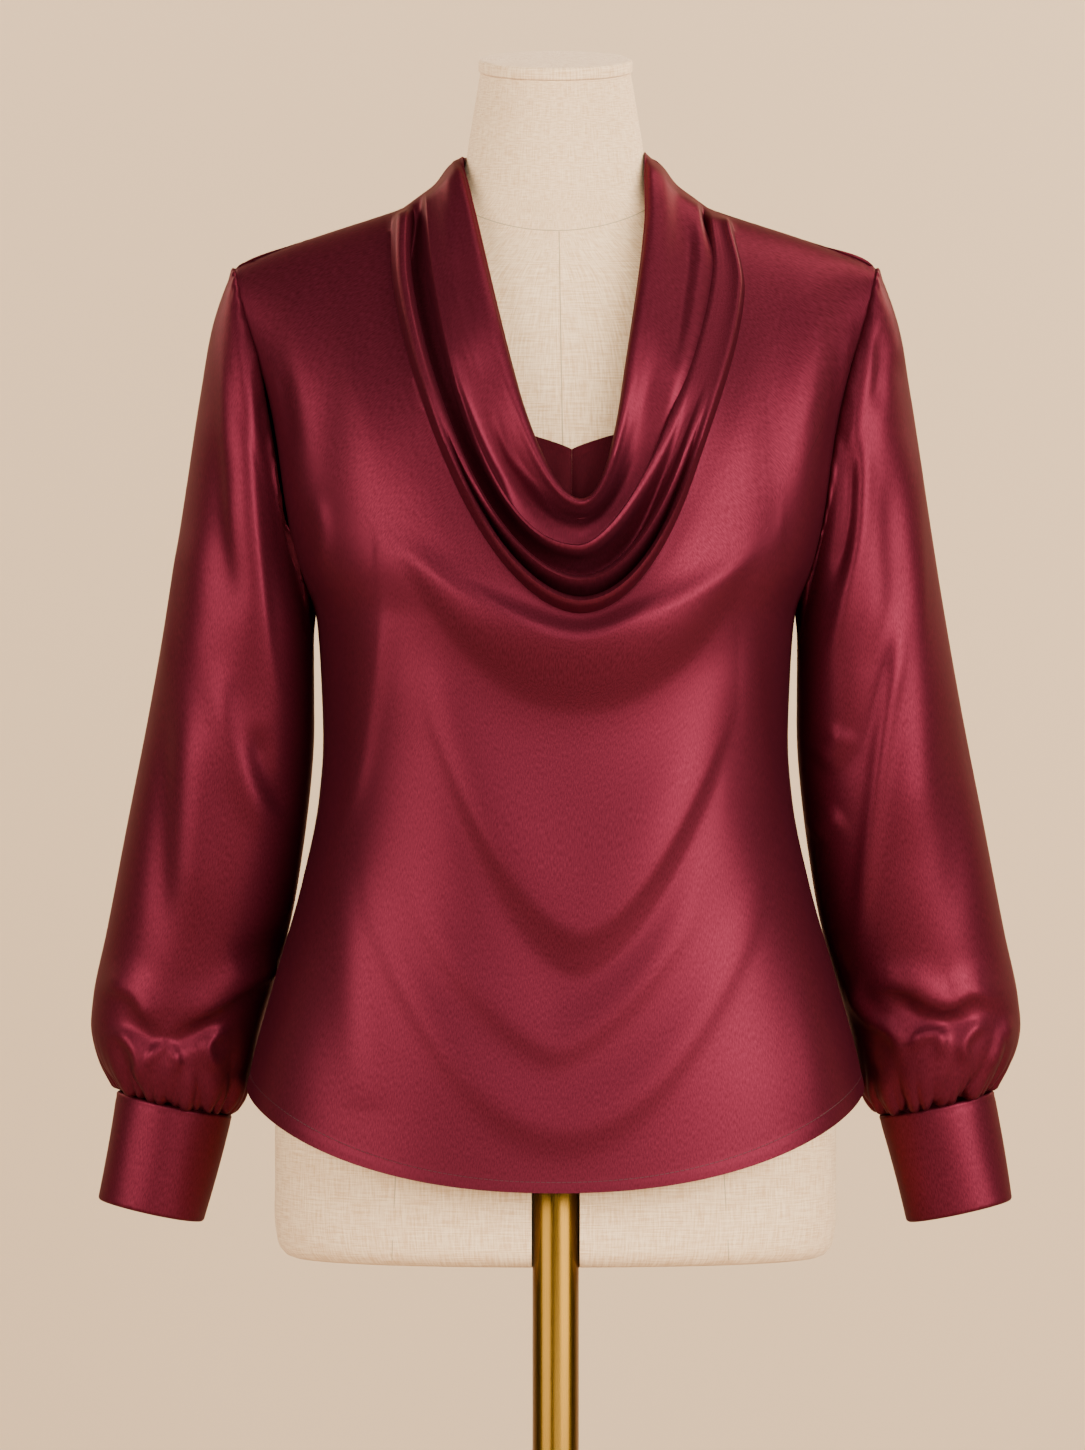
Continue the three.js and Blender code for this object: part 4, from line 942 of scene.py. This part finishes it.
# gathers at the cuff, small and large: how many there are round the sleeve and their ranges of size
gathers = table("count wide deep shortest longest lean", [
    (30, 0.050, 4.4, 14, 26, 0.06),
    (12, 0.080, 4.6, 28, 44, 0.20),
])


def armholeRing(side, inset, drop):
    columns = sleeveSize["columns"]
    angle = np.arange(columns) * 2 * math.pi / columns
    middle = (bodySize["shoulderZ"] + bodySize["underarmZ"]) / 2
    reach = (bodySize["shoulderZ"] - bodySize["underarmZ"]) / 2 - drop
    z = middle + reach * np.cos(angle)
    x = armholeX(z)
    y = np.where(np.sin(angle) < 0, frontSurface(x, z) + drop, backSurface(x, z) - drop)
    y = np.where(np.abs(np.sin(angle)) < 1e-6, bodySize["sideSeamY"], y)
    return np.stack([side * (x + inset), y, z], axis=-1)


def makeSleeve(side, frontFolds, backFolds, seed):
    columns = sleeveSize["columns"]
    angle = np.arange(columns) * 2 * math.pi / columns
    keys = [armholeRing(side, 0.2, 2.2), armholeRing(side, sleeveSize["armholeGap"], 0)]
    for ring in sleeveRings:
        outer = np.array([ring["outX"], ring["middleY"], ring["outZ"]])
        inner = np.array([ring["inX"], ring["middleY"], ring["inZ"]])
        centre, across = (outer + inner) / 2, (outer - inner) / 2
        points = centre + across * np.cos(angle)[:, None]
        points[:, 1] += np.sin(angle) * ring["half"]
        points[:, 0] *= side
        keys.append(points)
    grid, places = acrossRows(keys, sleeveSize["spacing"])
    normals = np.cross(np.roll(grid, -1, axis=1) - np.roll(grid, 1, axis=1), np.gradient(grid, axis=0))
    normals /= np.maximum(np.linalg.norm(normals, axis=2, keepdims=True), 1e-9)
    middle = grid.mean(axis=1, keepdims=True)
    if ((grid - middle) * normals).sum() < 0:
        normals = -normals
    x, z = np.abs(grid[:, :, 0]), grid[:, :, 2]
    facing = -np.sin(angle)[None, :]
    relief = lineRelief(x, z, frontFolds) * smoothStep(0.0, 0.3, facing)
    relief += lineRelief(x, z, backFolds) * smoothStep(0.0, 0.3, -facing)

    generator = np.random.default_rng(seed)
    toCuff = np.concatenate([np.cumsum(np.linalg.norm(np.diff(grid, axis=0), axis=2)[::-1], axis=0)[::-1],
                             np.zeros((1, columns))])
    for row in gathers:
        spots = (np.arange(row["count"]) + generator.uniform(-0.22, 0.22, row["count"])) * 2 * math.pi / row["count"]
        for spot in spots:
            long = generator.uniform(row["shortest"], row["longest"])
            wide = row["wide"] * generator.uniform(0.75, 1.3)
            deep = row["deep"] * generator.uniform(0.6, 1.25)
            lean = generator.uniform(-row["lean"], row["lean"])
            gap = (angle[None, :] - spot - lean * toCuff / 30 + math.pi) % (2 * math.pi) - math.pi
            spread = wide * (1 + toCuff / 30)
            fade = np.exp(-(toCuff / long) ** 1.8) * (0.4 + 0.6 * smoothStep(0, 5, toCuff))
            relief -= deep * np.exp(-np.abs(gap / spread) ** 1.3) * fade
    relief += sleeveSize["outward"] * hump(toCuff / 26) * smoothStep(0, 6, toCuff)
    relief -= 1.6 * hump(toCuff / 1.8)
    puckers = 0.35 * np.sin(41 * angle + 3 * np.sin(3 * angle))[None, :]
    fromHole = np.concatenate([np.zeros((1, columns)), np.cumsum(np.linalg.norm(np.diff(grid, axis=0), axis=2), axis=0)])
    relief += puckers * hump(fromHole / 9) * smoothStep(1.5, 4, fromHole)
    return grid + normals * relief[:, :, None]


sleeveLeft = shell("sleeveLeft", makeSleeve(-1, leftFolds, rightFolds, 11), 0.9, satin, ring=True, inside=satinReverseAndShade)
sleeveRight = shell("sleeveRight", makeSleeve(1, rightFolds, leftFolds, 23), 0.9, satin, ring=True, outward=-1,
                    inside=satinReverseAndShade)

# Cuffs: deep, plain, two layers of cloth turned over at the bottom edge

cuffSize = {"topX": 242, "topZ": 513.2, "bottomX": 256.8, "bottomZ": 444.9, "middleY": 45, "topHalf": 36.4,
            "bottomHalf": 33.2, "topDepth": 34, "bottomDepth": 31.5, "cloth": 2.2, "seamDown": 3.5}


def makeCuff(side):
    size = cuffSize
    down = np.concatenate([[0, 0.006, 0.02], np.linspace(0.035, 0.965, 34), [0.98, 0.994, 1]])
    angle = np.arange(128) * 2 * math.pi / 128
    leanX, leanZ = size["bottomX"] - size["topX"], size["bottomZ"] - size["topZ"]
    length = math.hypot(leanX, leanZ)
    across = np.array([-leanZ / length, 0, leanX / length])
    grid = []
    for t in down:
        half = size["topHalf"] + (size["bottomHalf"] - size["topHalf"]) * t
        depth = size["topDepth"] + (size["bottomDepth"] - size["topDepth"]) * t
        wave = 0.5 * np.sin(3 * angle + 2.2 * t + side) * t + 0.35 * np.sin(5 * angle + 1.5 * side) * math.sin(math.pi * t)
        groove = -0.5 * math.exp(-((t * length - size["seamDown"]) / 0.9) ** 2)
        ends = -0.7 * math.exp(-(t * length / 0.8) ** 2) - 0.6 * math.exp(-((1 - t) * length / 0.8) ** 2)
        out = wave + groove + ends
        centre = np.array([size["topX"] + leanX * t, size["middleY"], size["topZ"] + leanZ * t])
        points = centre + across * ((half + out) * np.cos(angle))[:, None]
        points[:, 1] += (depth + out) * np.sin(angle)
        points[:, 0] *= side
        grid.append(points)
    return np.array(grid)


cuffThickness = np.full(40, cuffSize["cloth"])
cuffThickness[[0, -1]] = 0.9
cuffThickness[[1, -2]] = 1.7
cuffLeft = shell("cuffLeft", makeCuff(-1), cuffThickness, satin, ring=True)
cuffRight = shell("cuffRight", makeCuff(1), cuffThickness, satin, ring=True, outward=-1)
print("stage: sleeves and cuffs")

# Sewing: thread and seam cords as Geometry Nodes, each turned to mesh

def pathObject(name, points):
    mesh = bpy.data.meshes.new(name)
    mesh.from_pydata((np.asarray(points) * mm).tolist(), [(i, i + 1) for i in range(len(points) - 1)], [])
    obj = bpy.data.objects.new(name, mesh)
    bpy.context.scene.collection.objects.link(obj)
    return obj


def newTree(name, inputs):
    tree = bpy.data.node_groups.new(name, "GeometryNodeTree")
    tree.interface.new_socket("Geometry", in_out="INPUT", socket_type="NodeSocketGeometry")
    for label, kind, value in inputs:
        tree.interface.new_socket(label, in_out="INPUT", socket_type=kind).default_value = value
    tree.interface.new_socket("Geometry", in_out="OUTPUT", socket_type="NodeSocketGeometry")
    return tree, addNode(tree, "NodeGroupInput")


def closeTree(tree, geometry, finish):
    real = addNode(tree, "GeometryNodeRealizeInstances", inputs={0: geometry})
    dressed = addNode(tree, "GeometryNodeSetMaterial", inputs={"Geometry": real.outputs[0], "Material": finish})
    addNode(tree, "NodeGroupOutput", inputs={"Geometry": dressed.outputs[0]})
    return tree


def stitchTree(finish):
    tree, given = newTree("stitchRow", [("Pitch", "NodeSocketFloat", 0.003), ("Stitch length", "NodeSocketFloat", 0.002),
                                        ("Thread radius", "NodeSocketFloat", 0.0002)])
    path = addNode(tree, "GeometryNodeMeshToCurve", inputs={"Mesh": given.outputs["Geometry"]})
    spaced = addNode(tree, "GeometryNodeResampleCurve", inputs={"Curve": path.outputs[0]})
    if hasattr(spaced, "mode"):
        spaced.mode = "LENGTH"
    tree.links.new(given.outputs["Pitch"], spaced.inputs["Length"])
    stitch = addNode(tree, "GeometryNodeMeshCylinder", inputs={
        "Vertices": 6, "Radius": given.outputs["Thread radius"], "Depth": given.outputs["Stitch length"]})
    tangent = addNode(tree, "GeometryNodeInputTangent")
    turn = addNode(tree, "FunctionNodeAlignRotationToVector", {"axis": "Z"}, {"Vector": tangent.outputs[0]})
    rows = addNode(tree, "GeometryNodeInstanceOnPoints", inputs={
        "Points": spaced.outputs[0], "Instance": stitch.outputs[0], "Rotation": turn.outputs[0]})
    return closeTree(tree, rows.outputs[0], finish)


def cordTree(finish):
    tree, given = newTree("seamCord", [("Cord radius", "NodeSocketFloat", 0.0004)])
    path = addNode(tree, "GeometryNodeMeshToCurve", inputs={"Mesh": given.outputs["Geometry"]})
    ring = addNode(tree, "GeometryNodeCurvePrimitiveCircle", inputs={
        "Resolution": 8, "Radius": given.outputs["Cord radius"]})
    tube = addNode(tree, "GeometryNodeCurveToMesh", inputs={
        "Curve": path.outputs[0], "Profile Curve": ring.outputs[0], "Fill Caps": True})
    return closeTree(tree, tube.outputs[0], finish)


def throughNodes(obj, tree, values):
    change = obj.modifiers.new("sewing", "NODES")
    change.node_group = tree
    for item in tree.interface.items_tree:
        if item.in_out == "INPUT" and item.name in values:
            change[item.identifier] = values[item.name]
    bpy.context.view_layer.update()
    made = bpy.data.meshes.new_from_object(obj.evaluated_get(bpy.context.evaluated_depsgraph_get()))
    obj.modifiers.clear()
    obj.data = made
    return obj


def rowPath(grid, thickness, row, outward):
    # a line along one row of a panel's grid, just proud of its face
    along = np.gradient(grid, axis=1)
    normals = np.cross(along, np.gradient(grid, axis=0)) * outward
    normals /= np.maximum(np.linalg.norm(normals, axis=2, keepdims=True), 1e-9)
    return grid[row] + normals[row] * (thickness[row] / 2 + 0.02)


stitching = {"Pitch": 3.2 * mm, "Stitch length": 2.5 * mm, "Thread radius": 0.26 * mm}
stitches = stitchTree(thread)
cords = cordTree(seamThread)


def hemStitches(name, grid, thickness, outward):
    up = np.cumsum(np.linalg.norm(np.diff(grid[::-1, grid.shape[1] // 2], axis=0), axis=1))
    row = len(grid) - 2 - int(np.searchsorted(up, 6.4))
    path = rowPath(grid, thickness, row, outward)
    return throughNodes(pathObject(name, path[2:-2]), stitches, stitching)


frontStitches = hemStitches("frontHemStitches", frontGrid, frontThickness, -1)
backStitches = hemStitches("backHemStitches", backGrid, backThickness, 1)


def onForm(x, z, side=-1):
    if side < 0:
        return np.array([x, float(chest(np.array(x), np.array(z))) - 0.05, z])
    square = formSquareAt(z)
    depth = smoothCurve([(r["height"], r["back"]) for r in formSections])(z)
    across = min(abs(x) / float(formHalfAt(z)), 1)
    return np.array([x, float(bodySize["sideSeamY"] + depth * (1 - across ** square) ** (1 / square)) + 0.05, z])


cordSize = {"Cord radius": 0.28 * mm}
formSeams = []
for label, line in (
        ("centre", [(2.2 + 3.2 * t, 1065 - 200 * t) for t in np.linspace(0, 1, 60)]),
        ("hipLeft", [(-96 - 6 * t, 560 - 136 * t) for t in np.linspace(0, 1, 40)]),
        ("hipRight", [(100 + 8 * t, 560 - 136 * t) for t in np.linspace(0, 1, 40)])):
    path = [onForm(x, z) for x, z in line]
    formSeams.append(throughNodes(pathObject("formSeam" + label[0].upper() + label[1:], path), cords, cordSize))
# the neck seam dips at the front: its ends are at the sides, its lowest point in the middle
neckSeam = {"sideZ": 1083.5, "frontZ": 1065.5}
turn = np.linspace(-0.44, 0.44, 70) * math.pi
neckPath = []
for angle in turn:
    z = neckSeam["sideZ"] + (neckSeam["frontZ"] - neckSeam["sideZ"]) * math.cos(angle) ** 1.6
    x = 62.5 * math.sin(angle)
    neckPath.append(onForm(x, z))
formSeams.append(throughNodes(pathObject("formSeamNeck", neckPath), cords, cordSize))
backPath = [onForm(0.0, z, 1) for z in np.linspace(1058, 424, 90)]
formSeams.append(throughNodes(pathObject("formSeamBack", backPath), cords, cordSize))
print("stage: sewing")

# Each piece hangs from the root body and takes the place of its part from model.glb, which is hidden

for piece, node, slotName in (
        (front, "front", "satin"), (back, "back", "satin"), (collar, "back_collar", "satin"),
        (form, "form", "linen"), (neckCap, "neck_cap", "linen"), (innerLeft, "inner_panel_left", "satin"),
        (innerRight, "inner_panel_right", "satin"), (sleeveLeft, "sleeve_left", "satin"),
        (sleeveRight, "sleeve_right", "satin"), (cuffLeft, "cuff_left", "satin"),
        (cuffRight, "cuff_right", "satin"), (pole, "pole", "brass"), (base, "base", "base_metal")):
    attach(piece, "root")
    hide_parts(node)
for piece in (frontStitches, backStitches):
    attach(piece, "root")
for piece in formSeams:
    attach(piece, "root")

# Stage, lights and camera

backdropPaint = newMaterial("backdropPaper")
backdropPaint[2].inputs["Base Color"].default_value = toLinear("#DEC5A4")
backdropPaint[2].inputs["Roughness"].default_value = 1.0
backdropPaint[2].inputs["Specular IOR Level"].default_value = 0.0
# the paper's back lets the view through, so that the part can be seen from behind it
paperSide = addNode(backdropPaint[1], "ShaderNodeNewGeometry")
clear = addNode(backdropPaint[1], "ShaderNodeBsdfTransparent")
oneSided = addNode(backdropPaint[1], "ShaderNodeMixShader", inputs={
    0: paperSide.outputs["Backfacing"], 1: backdropPaint[2].outputs[0], 2: clear.outputs[0]})
paperOutput = next(node for node in backdropPaint[1].nodes if node.type == "OUTPUT_MATERIAL")
backdropPaint[1].links.new(oneSided.outputs[0], paperOutput.inputs["Surface"])


def stagePlane(name, corners, finish):
    mesh = bpy.data.meshes.new(name)
    mesh.from_pydata(corners, [], [(0, 1, 2, 3)])
    obj = newObject(name, mesh, finish)


stagePlane("backdropWall", [(-6, 1.7, -0.002), (6, 1.7, -0.002), (6, 1.7, 5), (-6, 1.7, 5)], backdropPaint[0])
floorFelt = newMaterial("floorFelt")
floorFelt[2].inputs["Base Color"].default_value = toLinear("#AE9D86")
floorFelt[2].inputs["Roughness"].default_value = 1.0
stagePlane("studioFloor", [(-6, -6, -0.002), (6, -6, -0.002), (6, 1.7, -0.002), (-6, 1.7, -0.002)], floorFelt[0])

world = bpy.data.worlds.new("studioLight")
world.use_nodes = True
world.node_tree.nodes["Background"].inputs["Color"].default_value = toLinear("#EBDDCB")
# little light comes from all round, but the eye sees a pale room behind the part
seen = addNode(world.node_tree, "ShaderNodeLightPath")
strength = addNode(world.node_tree, "ShaderNodeMapRange", inputs={
    "Value": seen.outputs["Is Camera Ray"], "To Min": 0.06, "To Max": 0.62})
world.node_tree.links.new(strength.outputs[0], world.node_tree.nodes["Background"].inputs["Strength"])
bpy.context.scene.world = world

lights = table("name x y z aimX aimZ width height power colour", [
    ("keySoftbox", 2.5, -2.5, 1.45, 0.0, 0.75, 3.0, 1.9, 250, "#FFF4EA"),
    ("fillPanel", -2.6, -2.4, 1.35, 0.0, 0.75, 2.8, 1.9, 150, "#FFF2E6"),
    ("highPanel", 0.3, -3.0, 3.0, 0.0, 0.85, 2.2, 0.8, 42, "#FFF4E8"),
    ("frontPanel", 0.5, -4.9, 0.8, 0.0, 0.6, 2.4, 0.9, 56, "#FFF4E8"),
    ("backPanelLeft", -1.7, 1.35, 1.9, 0.0, 0.8, 1.2, 1.0, 34, "#FFF2E6"),
    ("backPanelRight", 1.7, 1.35, 1.9, 0.0, 0.8, 1.2, 1.0, 40, "#FFF2E6"),
    ("wallWash", 1.4, 0.5, 2.9, 0.4, 0.9, 2.6, 0.6, 48, "#FFF1DF"),
])
for light in lights:
    data = bpy.data.lights.new(light["name"], "AREA")
    data.shape = "RECTANGLE"
    data.size, data.size_y = light["width"], light["height"]
    data.energy = light["power"]
    data.color = toLinear(light["colour"])[:3]
    lamp = bpy.data.objects.new(light["name"], data)
    aimY = 1.7 if light["name"] == "wallWash" else 0.0
    lamp.location = (light["x"], light["y"], light["z"])
    lamp.rotation_euler = (Vector((light["aimX"], aimY, light["aimZ"])) - lamp.location).to_track_quat("-Z", "Y").to_euler()
    bpy.context.scene.collection.objects.link(lamp)

view = {"distance": 6.0, "elevation": math.radians(2), "aim": (-0.0082, 0.0, 0.755), "pictureHeight": 0.9135}
lens = bpy.data.cameras.new("pictureCamera")
lens.sensor_width = 36
lens.sensor_height = 36
lens.sensor_fit = "VERTICAL"
lens.lens = 36 * view["distance"] / view["pictureHeight"]
camera = bpy.data.objects.new("pictureCamera", lens)
aim = Vector(view["aim"])
camera.location = aim + view["distance"] * Vector((0, -math.cos(view["elevation"]), math.sin(view["elevation"])))
camera.rotation_euler = (aim - camera.location).to_track_quat("-Z", "Y").to_euler()
bpy.context.scene.collection.objects.link(camera)
bpy.context.scene.camera = camera
print("stage: lights and camera")
